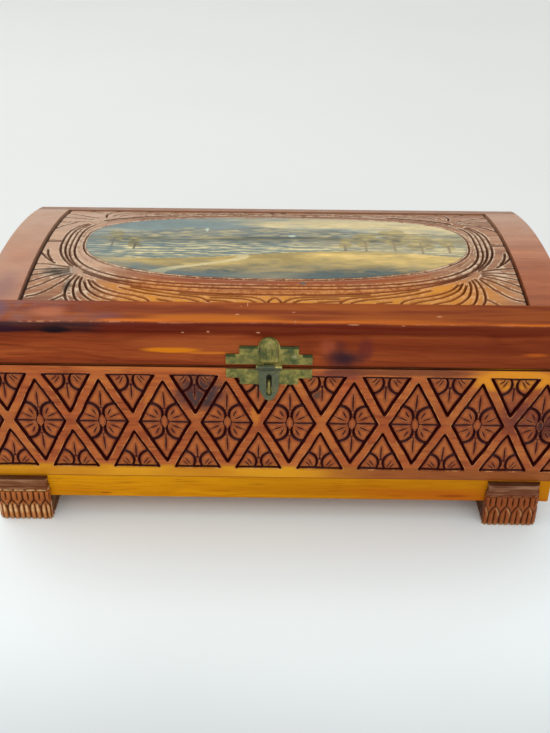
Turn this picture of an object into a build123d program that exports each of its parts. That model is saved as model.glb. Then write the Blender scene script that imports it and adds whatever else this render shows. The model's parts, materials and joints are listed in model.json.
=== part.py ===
from build123d import *
import os
from math import atan2, ceil, copysign, cos, degrees, pi, radians, sin, sqrt, tan

# Cedar jewelry box: plain boards, a domed lid with a carved panel and an oval
# picture, a carved lattice on the front, four carved feet, a stepped brass hasp
# and two butt hinges.
# Millimetres. The box stands on z = 0, is centred on x = 0 and y = 0, and faces -Y.

os.makedirs("parts", exist_ok=True)

# Boards: the front and the ends are thicker than the back.
box_length = 280.0
box_depth = 152.4
board_thickness = 19.0
back_thickness = 12.7
bottom_thickness = 13.2
wall_height = 63.7
edge_round = 0.8

# Lid
lid_edge_height = 19.1
dome_radius = 298.0
lid_arris_round = 2.5
lid_end_round = 1.2
panel_thickness = 19.0
panel_sink = 0.8
panel_end_gap = 0.6
picture_end_margin = 21.55
picture_front_margin = 21.5
picture_back_margin = 16.2
picture_shift = 0.6
picture_squareness = 2.57
picture_outline_points = 40
picture_thickness = 0.4
picture_rim_gap = 2.6
picture_rim_width = 2.2
picture_rim_depth = 1.0

# Carved lattice of the front board
lattice_pitch = 30.26
lattice_shift = 8.5
lattice_top_margin = 4.6
lattice_bottom_margin = 7.0
strap_across = 5.0
lattice_depth = 1.2

# Feet
foot_drop = 12.4
foot_width = 27.6
foot_reach = 25.0
foot_lip = 4.5
foot_rise = 12.8
foot_spacing = 247.0
foot_corner = 2.2
foot_outer_corner = 4.2
foot_tuck = 0.7
reed_radius = 1.5
upper_reed_back = 1.2
lower_reed_back = 0.4
nail_spacing = 12.0
nail_radius = 0.9
nail_head_radius = 2.0
nail_head_thickness = 0.6
nail_sink = 0.5
nail_length = 20.0

# The clasp and the feet were set by hand, a little left of the middle.
fittings_shift = -1.5
feet_shift = -2.3

# Hinges
leaf_thickness = 0.5
leaf_gap = 0.1
leaf_width = 24.0
leaf_depth = 9.5
hinge_screw_back = 5.6
hinge_spacing = 168.0
hinge_inset = 2.6
knuckle_radius = 1.7
knuckle_gap = 0.15
hinge_pin_radius = 0.8
pin_clearance = 0.05
barrel_clearance = 0.3
stop_angle = 104.0
hinge_screw_spacing = 14.0
hinge_screw_length = 10.0
screw_radius = 1.0
screw_head_radius = 2.0
screw_head_height = 1.0
screw_point = 2.0
screw_slot_width = 0.5
screw_slot_depth = 0.35
fit_clearance = 0.05

# Clasp
sheet = 0.6
tongue_sheet = 0.8
tongue_gap = 0.3
clasp_knuckle_radius = 1.5
clasp_pin_radius = 0.65
clasp_axis_out = 1.8
clasp_axis_rise = 0.2
barrel_length = 12.1
middle_knuckle = 4.9
plate_width = 40.4
plate_step_width = 27.5
hasp_plate_rise = 1.2
hasp_tier_height = 5.3
hasp_step_height = 4.3
hasp_crest_radius = 4.9
hasp_crest_sink = 0.2
hasp_boss_margin = 0.4
hasp_boss_height = 0.9
hasp_boss_taper = 25
hasp_ridge_width = 3.0
hasp_ridge_height = 0.6
hasp_ridge_length = 8.0
hasp_ridge_rise = 1.0
hasp_ridge_taper = 30
plate_corner_round = 0.3
knuckle_wrap = 1.0
knuckle_lap = 0.02
staple_plate_drop = 0.3
staple_tier_height = 4.7
staple_step_height = 3.5
staple_tab_radius = 4.2
staple_tab_length = 7.0
tongue_width = 10.1
tongue_length = 18.1
tongue_taper = 0.5
tongue_turn = 6.2
tongue_tip_width = 4.2
tongue_tip_height = 1.0
slot_width = 2.6
slot_top = 3.7
slot_length = 11.8
staple_wire = 1.3
staple_spacing = 6.6
staple_top = 7.0
staple_out = 4.4
staple_bend = 1.3
staple_leg = 8.0
tack_radius = 0.7
tack_head_radius = 1.3
tack_head_height = 0.45
tack_length = 7.0
tack_spacing = 19.8

# Levels and faces
seam_gap = 2 * leaf_thickness + leaf_gap
bottom_z = foot_drop
wall_z = bottom_z + bottom_thickness
rim_z = wall_z + wall_height
lid_z = rim_z + seam_gap
seam_z = (rim_z + lid_z) / 2
lid_edge_z = lid_z + lid_edge_height
half_depth = box_depth / 2
half_length = box_length / 2
front_y = -half_depth
inner_front_y = front_y + board_thickness
inner_back_y = half_depth - back_thickness
inner_half_length = half_length - board_thickness
dome_centre_z = lid_edge_z - sqrt(dome_radius**2 - half_depth**2)
crown_z = dome_centre_z + dome_radius
panel_radius = dome_radius - panel_sink
panel_z = crown_z - panel_sink - panel_thickness
picture_half_length = inner_half_length - picture_end_margin
picture_front_y = inner_front_y + picture_front_margin
picture_back_y = inner_back_y - picture_back_margin
picture_half_width = (picture_back_y - picture_front_y) / 2
picture_y = (picture_front_y + picture_back_y) / 2

hinge_y = half_depth - hinge_inset
clasp_axis_y = front_y - clasp_axis_out
clasp_axis_z = lid_z + clasp_axis_rise


def finish(piece, name):
    """Label a finished sub-part and write its file."""
    piece.part.label = name
    export_step(piece.part, f"parts/{name}.step")


def dome_z(y, radius):
    """Height of the dome with the given radius, at a distance y from the middle."""
    return dome_centre_z + sqrt(radius**2 - y**2)


def domed_outline(x, y_low, y_high, z_low, radius):
    """Section of a lid piece at x: flat underneath and domed on top."""
    y_mid = (y_low + y_high) / 2
    start = (y_low, dome_z(y_low, radius))
    end = (y_high, dome_z(y_high, radius))
    with BuildSketch(Plane.YZ.offset(x)) as outline:
        with BuildLine():
            ThreePointArc(start, (y_mid, dome_z(y_mid, radius)), end)
            Polyline(end, (y_high, z_low), (y_low, z_low), start)
        make_face()
    return outline.sketch


def dome_band(depth):
    """Section of a layer of the panel's top, as deep as given."""
    with BuildSketch(Plane.YZ) as band:
        with Locations((0, dome_centre_z)):
            Circle(panel_radius)
            Circle(panel_radius - depth, mode=Mode.SUBTRACT)
        with Locations((0, crown_z)):
            Rectangle(box_depth, 2 * panel_thickness, mode=Mode.INTERSECT)
    return band.sketch


def back_chamfer(z_sign):
    """Section of the chamfer behind the seam, whose plane runs through the hinge axis."""
    slope = tan(radians(stop_angle / 2))
    rim_rise = z_sign * seam_gap / 2
    outer_y = half_depth + 1
    with BuildSketch(Plane.YZ) as wedge:
        with BuildLine():
            Polyline(
                (hinge_y + seam_gap / 2 / slope, seam_z + rim_rise),
                (outer_y, seam_z + z_sign * (outer_y - hinge_y) * slope),
                (outer_y, seam_z + rim_rise),
                close=True,
            )
        make_face()
    return wedge.sketch


hinge_centres = [(side * hinge_spacing / 2, hinge_y, seam_z) for side in (-1, 1)]
hinge_screw_y = hinge_y - hinge_screw_back
hinge_screw_spots = [
    (x + side * hinge_screw_spacing / 2, hinge_screw_y)
    for x, _, _ in hinge_centres
    for side in (-1, 1)
]

staple_upper_z = clasp_axis_z - staple_top
staple_lower_z = staple_upper_z - staple_spacing
hasp_tack_z = lid_z + hasp_plate_rise + hasp_tier_height + hasp_step_height / 2
staple_tack_z = rim_z - staple_plate_drop - staple_tier_height
hasp_tack_spots = [
    (fittings_shift + side * tack_spacing / 2, hasp_tack_z) for side in (-1, 1)
]
staple_tack_spots = [
    (fittings_shift + side * tack_spacing / 2, staple_tack_z) for side in (-1, 1)
]
clasp_face = Plane.XZ.offset(half_depth)


# Holes for the nails that go up through the feet into the bottom board.
nail_spots = [
    (foot_x + offset * nail_spacing / 2, row * (half_depth - foot_reach / 2))
    for foot_x in (feet_shift - foot_spacing / 2, feet_shift + foot_spacing / 2)
    for row in (-1, 1)
    for offset in (-1, 1)
]
with BuildPart() as nail_bores:
    with BuildSketch(Plane.XY):
        with Locations(nail_spots):
            Circle(nail_radius + fit_clearance)
    extrude(amount=nail_sink + nail_length + fit_clearance)
    with BuildSketch(Plane.XY):
        with Locations(nail_spots):
            Circle(nail_head_radius + fit_clearance)
    extrude(amount=nail_sink + nail_head_thickness)

# Bottom board: its edges show below the walls on all four sides.
with BuildPart() as bottom_board:
    with Locations((0, 0, bottom_z)):
        Box(box_length, box_depth, bottom_thickness, align=(Align.CENTER, Align.CENTER, Align.MIN))
    fillet(bottom_board.edges().filter_by(Axis.Z), edge_round)
    fillet(bottom_board.faces().sort_by(Axis.Z)[0].edges(), edge_round)
    add(nail_bores.part, mode=Mode.SUBTRACT)
finish(bottom_board, "bottom_board")

# Front board: a lattice of straps stands between sunk cells. The straps cross at mid-height,
# and the edges of two of them meet at each end of a diamond.
lattice_low_z = wall_z + lattice_bottom_margin
lattice_high_z = rim_z - lattice_top_margin
lattice_height = lattice_high_z - lattice_low_z
lattice_mid_z = (lattice_low_z + lattice_high_z) / 2
strap_lean = atan2(lattice_height, lattice_pitch - strap_across)
strap_angle = degrees(strap_lean)
strap_width = strap_across * sin(strap_lean)
strap_length = 2 * sqrt(lattice_height**2 + lattice_pitch**2)
strap_count = 2 * ceil((half_length + abs(lattice_shift)) / lattice_pitch) + 2
with BuildPart() as front_board:
    with Locations((0, front_y, wall_z)):
        Box(box_length, board_thickness, wall_height, align=(Align.CENTER, Align.MIN, Align.MIN))
    fillet(front_board.faces().sort_by(Axis.Y)[0].edges().filter_by(Axis.Z), edge_round)
    fillet(front_board.faces().sort_by(Axis.Y)[0].edges().sort_by(Axis.Z)[-1], edge_round / 2)
    with BuildSketch(clasp_face):
        with Locations((0, lattice_mid_z)):
            Rectangle(box_length, lattice_height)
        with Locations((lattice_shift, lattice_mid_z)):
            with GridLocations(lattice_pitch, 0, strap_count, 1):
                for lean in (-1, 1):
                    Rectangle(strap_length, strap_width, rotation=lean * strap_angle, mode=Mode.SUBTRACT)
    extrude(amount=-lattice_depth, mode=Mode.SUBTRACT)
    with BuildSketch(clasp_face):
        with Locations((fittings_shift, staple_upper_z), (fittings_shift, staple_lower_z)):
            Circle(staple_wire / 2 + fit_clearance)
    extrude(amount=-staple_leg - fit_clearance, mode=Mode.SUBTRACT)
    with BuildSketch(clasp_face):
        with Locations(staple_tack_spots):
            Circle(tack_radius + fit_clearance)
    extrude(amount=-tack_length, mode=Mode.SUBTRACT)
finish(front_board, "front_board")


def cut_hinge_seats(z_sign):
    """Barrel troughs and screw holes of both hinges, cut from a rim on one side of the seam."""
    with BuildPart() as seats:
        for centre in hinge_centres:
            with Locations(centre):
                Cylinder(knuckle_radius + barrel_clearance, leaf_width + 1, rotation=(0, 90, 0))
        for x, y in hinge_screw_spots:
            add(screw_body(x, y, z_sign, fit_clearance))
    return seats.part


def screw_body(x, y, z_sign, extra):
    """Countersunk screw with its head flush with a leaf's inner face and its shank in the wood."""
    head_z = seam_z + z_sign * leaf_gap / 2
    neck_z = head_z + z_sign * screw_head_height
    tip_z = head_z + z_sign * (hinge_screw_length + extra)
    point_z = tip_z - z_sign * screw_point
    with BuildPart() as screw:
        with BuildSketch(Plane.XZ.offset(-y)):
            with BuildLine():
                Polyline(
                    (x, head_z),
                    (x + screw_head_radius + extra, head_z),
                    (x + screw_radius + extra, neck_z),
                    (x + screw_radius + extra, point_z),
                    (x, tip_z),
                    close=True,
                )
            make_face()
        revolve(axis=Axis((x, y, 0), (0, 0, 1)))
    return screw.part


# Back board: its top back edge is chamfered, so that the lid stops against it when open.
with BuildPart() as back_board:
    with Locations((0, half_depth, wall_z)):
        Box(box_length, back_thickness, wall_height, align=(Align.CENTER, Align.MAX, Align.MIN))
    fillet(back_board.faces().sort_by(Axis.Y)[-1].edges().filter_by(Axis.Z), edge_round)
    extrude(back_chamfer(-1), amount=half_length + 1, both=True, mode=Mode.SUBTRACT)
    add(cut_hinge_seats(-1), mode=Mode.SUBTRACT)
finish(back_board, "back_board")

# End boards: they stand between the front and the back.
for side, name in ((-1, "left_end_board"), (1, "right_end_board")):
    with BuildPart() as end_board:
        with Locations((side * (half_length - board_thickness / 2), inner_front_y, wall_z)):
            Box(
                board_thickness,
                inner_back_y - inner_front_y,
                wall_height,
                align=(Align.CENTER, Align.MIN, Align.MIN),
            )
    finish(end_board, name)


def foot_section(x, row):
    """Section of a foot at x: reeds and a swelling face outside, a block below."""
    out = row
    face_y = out * half_depth
    top_z = bottom_z + foot_rise
    reed_low_z = top_z - 2 * reed_radius
    band_z = reed_low_z - 2 * reed_radius
    reed_one_y = face_y + out * (foot_lip - reed_radius - upper_reed_back)
    reed_two_y = face_y + out * (foot_lip - reed_radius - lower_reed_back)
    lip_y = face_y + out * foot_lip
    inner_y = face_y - out * foot_reach
    with BuildSketch(Plane.YZ.offset(x)) as section:
        with BuildLine():
            Line((face_y, top_z), (reed_one_y, top_z))
            ThreePointArc(
                (reed_one_y, top_z),
                (reed_one_y + out * reed_radius, top_z - reed_radius),
                (reed_one_y, reed_low_z),
            )
            Line((reed_one_y, reed_low_z), (reed_two_y, reed_low_z))
            ThreePointArc(
                (reed_two_y, reed_low_z),
                (reed_two_y + out * reed_radius, reed_low_z - reed_radius),
                (reed_two_y, band_z),
            )
            Polyline(
                (reed_two_y, band_z),
                (lip_y, band_z),
                (lip_y, bottom_z / 2),
                (lip_y - out * foot_tuck, 0),
                (inner_y, 0),
                (inner_y, bottom_z),
                (face_y, bottom_z),
                (face_y, top_z),
            )
        make_face()
    return section.sketch


# Feet: each stands under the bottom board and laps over its edge.
for row, row_name in ((-1, "front"), (1, "rear")):
    for side, side_name in ((-1, "left"), (1, "right")):
        centre_x = feet_shift + side * foot_spacing / 2
        with BuildPart() as foot:
            extrude(foot_section(centre_x, row), amount=foot_width / 2, both=True)
            with BuildSketch(Plane.XY):
                with Locations((centre_x, row * (half_depth - foot_reach))):
                    Rectangle(
                        foot_width,
                        foot_reach + foot_lip,
                        align=(Align.CENTER, Align.MIN if row > 0 else Align.MAX),
                    )
                face_corners = vertices().group_by(Axis.Y)[-1 if row > 0 else 0].sort_by(Axis.X)
                fillet(face_corners[0 if side < 0 else -1], foot_outer_corner)
                face_corners = vertices().group_by(Axis.Y)[-1 if row > 0 else 0].sort_by(Axis.X)
                fillet(face_corners[-1 if side < 0 else 0], foot_corner)
            extrude(amount=bottom_z + foot_rise, mode=Mode.INTERSECT)
            add(nail_bores.part, mode=Mode.SUBTRACT)
        finish(foot, f"{row_name}_{side_name}_foot")

# Foot nails: two up through each foot into the bottom board, heads below the surface.
with BuildPart() as foot_nails:
    with BuildSketch(Plane.XY.offset(nail_sink)):
        with Locations(nail_spots):
            Circle(nail_head_radius)
    extrude(amount=nail_head_thickness)
    with BuildSketch(Plane.XY.offset(nail_sink)):
        with Locations(nail_spots):
            Circle(nail_radius)
    extrude(amount=nail_length)
finish(foot_nails, "foot_nails")

# Lid rails: full length, front and back, with the worn round arris along the outer top edge.
for row, low, high, name in (
    (-1, front_y, inner_front_y, "lid_front_rail"),
    (1, inner_back_y, half_depth, "lid_back_rail"),
):
    with BuildPart() as rail:
        extrude(domed_outline(0, low, high, lid_z, dome_radius), amount=half_length, both=True)
        outer_face = rail.faces().sort_by(Axis.Y)[0 if row < 0 else -1]
        fillet(outer_face.edges().sort_by(Axis.Z)[-1], lid_arris_round)
        for end in (0, -1):
            end_edges = rail.faces().sort_by(Axis.X)[end].edges()
            fillet(end_edges.filter_by(GeomType.CIRCLE), lid_end_round)
        if row < 0:
            fillet(rail.faces().sort_by(Axis.Y)[0].edges().sort_by(Axis.Z)[0], edge_round / 2)
            with BuildSketch(clasp_face):
                with Locations(hasp_tack_spots):
                    Circle(tack_radius + fit_clearance)
            extrude(amount=-tack_length, mode=Mode.SUBTRACT)
        else:
            extrude(back_chamfer(1), amount=half_length + 1, both=True, mode=Mode.SUBTRACT)
            add(cut_hinge_seats(1), mode=Mode.SUBTRACT)
    finish(rail, name)

# Lid ends: between the rails.
for side, name in ((-1, "lid_left_end"), (1, "lid_right_end")):
    near_x = side * half_length
    with BuildPart() as lid_end:
        outline = domed_outline(near_x, inner_front_y, inner_back_y, lid_z, dome_radius)
        extrude(outline, amount=-side * board_thickness)
        outer_face = lid_end.faces().sort_by(Axis.X)[0 if side < 0 else -1]
        fillet(outer_face.edges().filter_by(GeomType.CIRCLE), lid_end_round)
    finish(lid_end, name)


def picture_outline(extra):
    """Face inside the picture's outline, a squared oval, grown by extra all round."""
    length, width = picture_half_length + extra, picture_half_width + extra
    power = 2 / picture_squareness
    points = []
    for number in range(picture_outline_points):
        turn = 2 * pi * number / picture_outline_points
        along = copysign(abs(cos(turn)) ** power, cos(turn))
        across = copysign(abs(sin(turn)) ** power, sin(turn))
        points.append((picture_shift + length * along, picture_y + width * across))
    with BuildSketch(Plane.XY.offset(crown_z - panel_thickness)) as outline:
        with BuildLine():
            Spline(*points, periodic=True)
        make_face()
    return outline.sketch


# Picture: an oval print bent over the dome and let into the panel.
with BuildPart() as picture_print:
    extrude(dome_band(picture_thickness), amount=half_length, both=True)
    extrude(picture_outline(0), amount=2 * panel_thickness, mode=Mode.INTERSECT)
finish(picture_print, "picture_print")

# Groove cut round the picture, which separates it from the carving.
with BuildPart() as rim_groove:
    extrude(dome_band(picture_rim_depth), amount=half_length, both=True)
    rim_outline = picture_outline(picture_rim_gap + picture_rim_width)
    extrude(rim_outline, amount=2 * panel_thickness, mode=Mode.INTERSECT)
    extrude(picture_outline(picture_rim_gap), amount=2 * panel_thickness, mode=Mode.SUBTRACT)

# Carved top panel: sunk a little between the rails and the ends.
with BuildPart() as lid_top_panel:
    extrude(
        domed_outline(0, inner_front_y, inner_back_y, panel_z, panel_radius),
        amount=inner_half_length - panel_end_gap,
        both=True,
    )
    add(rim_groove.part, mode=Mode.SUBTRACT)
    add(picture_print.part, mode=Mode.SUBTRACT)
finish(lid_top_panel, "lid_top_panel")


# Butt hinges: thin leaves lie folded in the seam, and their thickness holds the lid off the rim.
def hinge_leaf(centre, z_sign, knuckle_spans):
    """One leaf with its own knuckles, cleared around the other leaf's knuckles."""
    x, y, z = centre
    near_z = z + z_sign * leaf_gap / 2
    far_z = near_z + z_sign * leaf_thickness
    clear_y = y - knuckle_radius - knuckle_gap
    with BuildPart() as leaf:
        with Locations((x, (y - leaf_depth + clear_y) / 2, (near_z + far_z) / 2)):
            Box(leaf_width, leaf_depth - knuckle_radius - knuckle_gap, leaf_thickness)
        for low, high in knuckle_spans:
            with Locations((x + (low + high) / 2, y, z)):
                Cylinder(knuckle_radius, high - low, rotation=(0, 90, 0))
            with Locations((x + (low + high) / 2, (clear_y + y) / 2, (near_z + far_z) / 2)):
                Box(high - low, y - clear_y, leaf_thickness)
        with Locations(centre):
            Cylinder(
                hinge_pin_radius + pin_clearance,
                leaf_width + 1,
                rotation=(0, 90, 0),
                mode=Mode.SUBTRACT,
            )
        for spot_x, spot_y in hinge_screw_spots:
            add(screw_body(spot_x, spot_y, z_sign, fit_clearance), mode=Mode.SUBTRACT)
    return leaf


third = leaf_width / 3
outer_spans = ((-leaf_width / 2, -third / 2), (third / 2, leaf_width / 2))
middle_span = ((-third / 2 + knuckle_gap, third / 2 - knuckle_gap),)
for centre, name in zip(hinge_centres, ("left", "right")):
    finish(hinge_leaf(centre, -1, outer_spans), f"{name}_hinge_body_leaf")
    finish(hinge_leaf(centre, 1, middle_span), f"{name}_hinge_lid_leaf")
    with BuildPart() as hinge_pin:
        with Locations(centre):
            Cylinder(hinge_pin_radius, leaf_width, rotation=(0, 90, 0))
    finish(hinge_pin, f"{name}_hinge_pin")

# Hinge screws: two in each leaf, slotted.
for z_sign, name in ((-1, "hinge_body_screws"), (1, "hinge_lid_screws")):
    with BuildPart() as screws:
        for spot_x, spot_y in hinge_screw_spots:
            add(screw_body(spot_x, spot_y, z_sign, 0))
            slot_z = seam_z + z_sign * (leaf_gap / 2 + screw_slot_depth / 2)
            with Locations((spot_x, spot_y, slot_z)):
                Box(3 * screw_head_radius, screw_slot_width, screw_slot_depth, mode=Mode.SUBTRACT)
    finish(screws, name)

# Hasp plate: stepped sheet on the lid with an arched boss, a ridge and two end knuckles.
plate_low_z = lid_z + hasp_plate_rise
tier_z = plate_low_z + hasp_tier_height
step_z = tier_z + hasp_step_height
crest_z = step_z - hasp_crest_sink
boss_radius = hasp_crest_radius - hasp_boss_margin
boss_low_z = plate_low_z + clasp_knuckle_radius
left_x = fittings_shift - boss_radius
right_x = fittings_shift + boss_radius
side_knuckle = (barrel_length - middle_knuckle) / 2
side_knuckle_x = (barrel_length - side_knuckle) / 2
with BuildPart() as hasp_plate:
    with BuildSketch(clasp_face):
        with Locations((fittings_shift, plate_low_z)):
            Rectangle(plate_width, hasp_tier_height, align=(Align.CENTER, Align.MIN))
            Rectangle(plate_step_width, step_z - plate_low_z, align=(Align.CENTER, Align.MIN))
        with Locations((fittings_shift, crest_z)):
            Circle(hasp_crest_radius)
    extrude(amount=sheet)
    fillet(hasp_plate.edges().filter_by(Axis.Y), plate_corner_round)
    with BuildSketch(clasp_face.offset(sheet)):
        with BuildLine():
            Polyline((left_x, crest_z), (left_x, boss_low_z), (right_x, boss_low_z), (right_x, crest_z))
            ThreePointArc((left_x, crest_z), (fittings_shift, crest_z + boss_radius), (right_x, crest_z))
        make_face()
    extrude(amount=hasp_boss_height, taper=hasp_boss_taper)
    with BuildSketch(clasp_face.offset(sheet + hasp_boss_height)):
        with Locations((fittings_shift, boss_low_z + hasp_ridge_rise + hasp_ridge_length / 2)):
            SlotOverall(hasp_ridge_length, hasp_ridge_width, rotation=90)
    extrude(amount=hasp_ridge_height, taper=hasp_ridge_taper)
    with Locations((fittings_shift, clasp_axis_y, clasp_axis_z)):
        Cylinder(
            clasp_knuckle_radius + knuckle_gap,
            middle_knuckle + 2 * knuckle_gap,
            rotation=(0, 90, 0),
            mode=Mode.SUBTRACT,
        )
    for side in (-1, 1):
        with Locations((fittings_shift + side * side_knuckle_x, clasp_axis_y, clasp_axis_z)):
            Cylinder(clasp_knuckle_radius, side_knuckle, rotation=(0, 90, 0))
        with BuildSketch(Plane.YZ.offset(fittings_shift + side * side_knuckle_x)):
            with BuildLine():
                Polyline(
                    (front_y, plate_low_z + knuckle_wrap),
                    (front_y - sheet, plate_low_z + knuckle_wrap),
                    (clasp_axis_y - sheet, clasp_axis_z + knuckle_wrap),
                    (clasp_axis_y + sheet, clasp_axis_z),
                    (front_y - knuckle_lap, plate_low_z),
                    close=True,
                )
            make_face()
        extrude(amount=side_knuckle / 2, both=True)
    with Locations((fittings_shift, clasp_axis_y, clasp_axis_z)):
        Cylinder(
            clasp_pin_radius + pin_clearance,
            barrel_length + 1,
            rotation=(0, 90, 0),
            mode=Mode.SUBTRACT,
        )
    with BuildSketch(clasp_face):
        with Locations(hasp_tack_spots):
            Circle(tack_radius + fit_clearance)
    extrude(amount=sheet, mode=Mode.SUBTRACT)
finish(hasp_plate, "hasp_plate")

with BuildPart() as hasp_pin:
    with Locations((fittings_shift, clasp_axis_y, clasp_axis_z)):
        Cylinder(clasp_pin_radius, barrel_length, rotation=(0, 90, 0))
finish(hasp_pin, "hasp_pin")

# Hasp tongue: hangs from the pin over the staple.
tongue_back = sheet + tongue_gap
tongue_top_z = clasp_axis_z - clasp_knuckle_radius - knuckle_gap
tongue_low_z = clasp_axis_z - tongue_length
tongue_turn_z = tongue_low_z + tongue_turn
tip_shoulder_z = tongue_low_z + tongue_tip_height
tongue_neck = clasp_axis_z - tongue_top_z + tongue_sheet
half_top = tongue_width / 2
half_low = half_top - tongue_taper
half_tip = tongue_tip_width / 2
with BuildPart() as hasp_tongue:
    with BuildSketch(clasp_face.offset(tongue_back)):
        with BuildLine():
            Polyline(
                (fittings_shift - half_low, tongue_turn_z),
                (fittings_shift - half_top, tongue_top_z),
                (fittings_shift + half_top, tongue_top_z),
                (fittings_shift + half_low, tongue_turn_z),
            )
            for side in (-1, 1):
                RadiusArc(
                    (fittings_shift + side * half_low, tongue_turn_z),
                    (fittings_shift + side * half_tip, tip_shoulder_z),
                    side * 2 * tongue_width,
                )
            ThreePointArc(
                (fittings_shift - half_tip, tip_shoulder_z),
                (fittings_shift, tongue_low_z),
                (fittings_shift + half_tip, tip_shoulder_z),
            )
        make_face()
    extrude(amount=tongue_sheet)
    with Locations((fittings_shift, clasp_axis_y, clasp_axis_z)):
        Cylinder(clasp_knuckle_radius, middle_knuckle, rotation=(0, 90, 0))
    with BuildSketch(clasp_face.offset(tongue_back)):
        with Locations((fittings_shift, clasp_axis_z)):
            Rectangle(middle_knuckle, tongue_neck, align=(Align.CENTER, Align.MAX))
    extrude(amount=tongue_sheet)
    with Locations((fittings_shift, clasp_axis_y, clasp_axis_z)):
        Cylinder(
            clasp_pin_radius + pin_clearance,
            middle_knuckle + 1,
            rotation=(0, 90, 0),
            mode=Mode.SUBTRACT,
        )
    with BuildSketch(clasp_face):
        with Locations((fittings_shift, clasp_axis_z - slot_top - slot_length / 2)):
            SlotOverall(slot_length, slot_width, rotation=90)
    extrude(amount=tongue_back + tongue_sheet, mode=Mode.SUBTRACT)
finish(hasp_tongue, "hasp_tongue")

# Staple plate: stepped sheet on the front board with a tab behind the tongue.
plate_top_z = rim_z - staple_plate_drop
plate_step_z = plate_top_z - staple_tier_height
plate_foot_z = plate_step_z - staple_step_height
with BuildPart() as staple_plate:
    with BuildSketch(clasp_face):
        with Locations((fittings_shift, plate_top_z)):
            Rectangle(plate_width, staple_tier_height, align=(Align.CENTER, Align.MAX))
            Rectangle(plate_step_width, plate_top_z - plate_foot_z, align=(Align.CENTER, Align.MAX))
        with Locations((fittings_shift, plate_foot_z)):
            SlotOverall(2 * staple_tab_length, 2 * staple_tab_radius, rotation=90)
    extrude(amount=sheet)
    fillet(staple_plate.edges().filter_by(Axis.Y), plate_corner_round)
    with BuildSketch(clasp_face):
        with Locations((fittings_shift, staple_upper_z), (fittings_shift, staple_lower_z)):
            Circle(staple_wire / 2 + fit_clearance)
        with Locations(staple_tack_spots):
            Circle(tack_radius + fit_clearance)
    extrude(amount=sheet, mode=Mode.SUBTRACT)
finish(staple_plate, "staple_plate")

# Staple: a bent wire whose bow stands through the slot.
bow_y = front_y - staple_out + staple_wire / 2
leg_y = front_y + staple_leg
with BuildPart() as staple:
    with BuildLine(Plane.YZ.offset(fittings_shift)) as wire_path:
        FilletPolyline(
            (leg_y, staple_upper_z),
            (bow_y, staple_upper_z),
            (bow_y, staple_lower_z),
            (leg_y, staple_lower_z),
            radius=staple_bend,
        )
    with BuildSketch(Plane((fittings_shift, leg_y, staple_upper_z), z_dir=(0, -1, 0))):
        Circle(staple_wire / 2)
    sweep(path=wire_path.line)
finish(staple, "staple")


def tack_group(spots):
    """Round-headed tacks driven through a clasp plate."""
    with BuildPart() as tacks:
        with BuildSketch(clasp_face.offset(-tack_length + fit_clearance)):
            with Locations(spots):
                Circle(tack_radius)
        extrude(amount=tack_length - fit_clearance + sheet)
        for x, z in spots:
            head_y = front_y - sheet
            crown_y = head_y - tack_head_height
            with BuildSketch(Plane.XY.offset(z)):
                with BuildLine():
                    TangentArc((x, crown_y), (x + tack_head_radius, head_y), tangent=(1, 0))
                    Polyline((x + tack_head_radius, head_y), (x, head_y), (x, crown_y))
                make_face()
            revolve(axis=Axis((x, front_y, z), (0, 1, 0)))
    return tacks


finish(tack_group(hasp_tack_spots), "hasp_plate_tacks")
finish(tack_group(staple_tack_spots), "staple_plate_tacks")
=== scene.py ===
import json
from math import atan2, cos, hypot, pi, radians, sin, sqrt

import bmesh
import bpy
import numpy as np
from mathutils import Matrix, Vector
from mathutils.geometry import delaunay_2d_cdt
from mathutils.kdtree import KDTree

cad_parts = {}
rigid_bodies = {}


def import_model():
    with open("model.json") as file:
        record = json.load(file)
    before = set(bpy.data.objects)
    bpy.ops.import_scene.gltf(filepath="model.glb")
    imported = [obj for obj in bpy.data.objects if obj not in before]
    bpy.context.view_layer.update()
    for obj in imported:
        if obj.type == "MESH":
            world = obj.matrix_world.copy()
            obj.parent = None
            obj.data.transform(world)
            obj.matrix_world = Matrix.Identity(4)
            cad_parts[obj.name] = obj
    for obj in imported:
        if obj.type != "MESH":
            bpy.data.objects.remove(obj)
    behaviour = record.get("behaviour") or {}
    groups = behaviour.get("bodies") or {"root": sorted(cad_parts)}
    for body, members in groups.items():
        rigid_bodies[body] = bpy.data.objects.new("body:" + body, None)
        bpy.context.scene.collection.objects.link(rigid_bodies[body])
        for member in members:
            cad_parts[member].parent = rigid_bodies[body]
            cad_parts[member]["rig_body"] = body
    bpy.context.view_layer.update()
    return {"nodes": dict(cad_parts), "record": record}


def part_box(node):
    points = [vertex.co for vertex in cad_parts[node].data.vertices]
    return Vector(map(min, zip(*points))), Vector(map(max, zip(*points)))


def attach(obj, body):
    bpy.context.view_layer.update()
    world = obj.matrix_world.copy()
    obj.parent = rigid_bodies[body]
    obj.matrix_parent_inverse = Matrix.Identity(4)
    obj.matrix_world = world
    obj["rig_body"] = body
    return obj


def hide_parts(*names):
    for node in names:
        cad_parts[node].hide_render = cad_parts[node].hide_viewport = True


# Looks of the cedar jewelry box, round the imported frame: camera, light, floor,
# the carved front, lid panel and feet, the oval picture, and every material.
# Carvings are worked out in millimetres in the part's frame and scaled at the end.

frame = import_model()

MM = 0.001
RANDOM_SEED = 7
# Millimetres within which two places are the same.
TOUCH = 1e-3
# The distance from a cut that plain wood is given.
UNCUT = 9.0
slots = {part["node"]: part["material_slot"] for part in frame["record"]["subparts"]}


def box_mm(node):
    """A CAD node's lowest and highest corners in millimetres."""
    low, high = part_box(node)
    return np.array(low) / MM, np.array(high) / MM


def srgb(tint):
    """A colour given as eight-bit sRGB, in Blender's linear values."""
    shares = [value / 255 for value in tint]
    return (*(s / 12.92 if s <= 0.04045 else ((s + 0.055) / 1.055) ** 2.4 for s in shares), 1.0)


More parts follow.
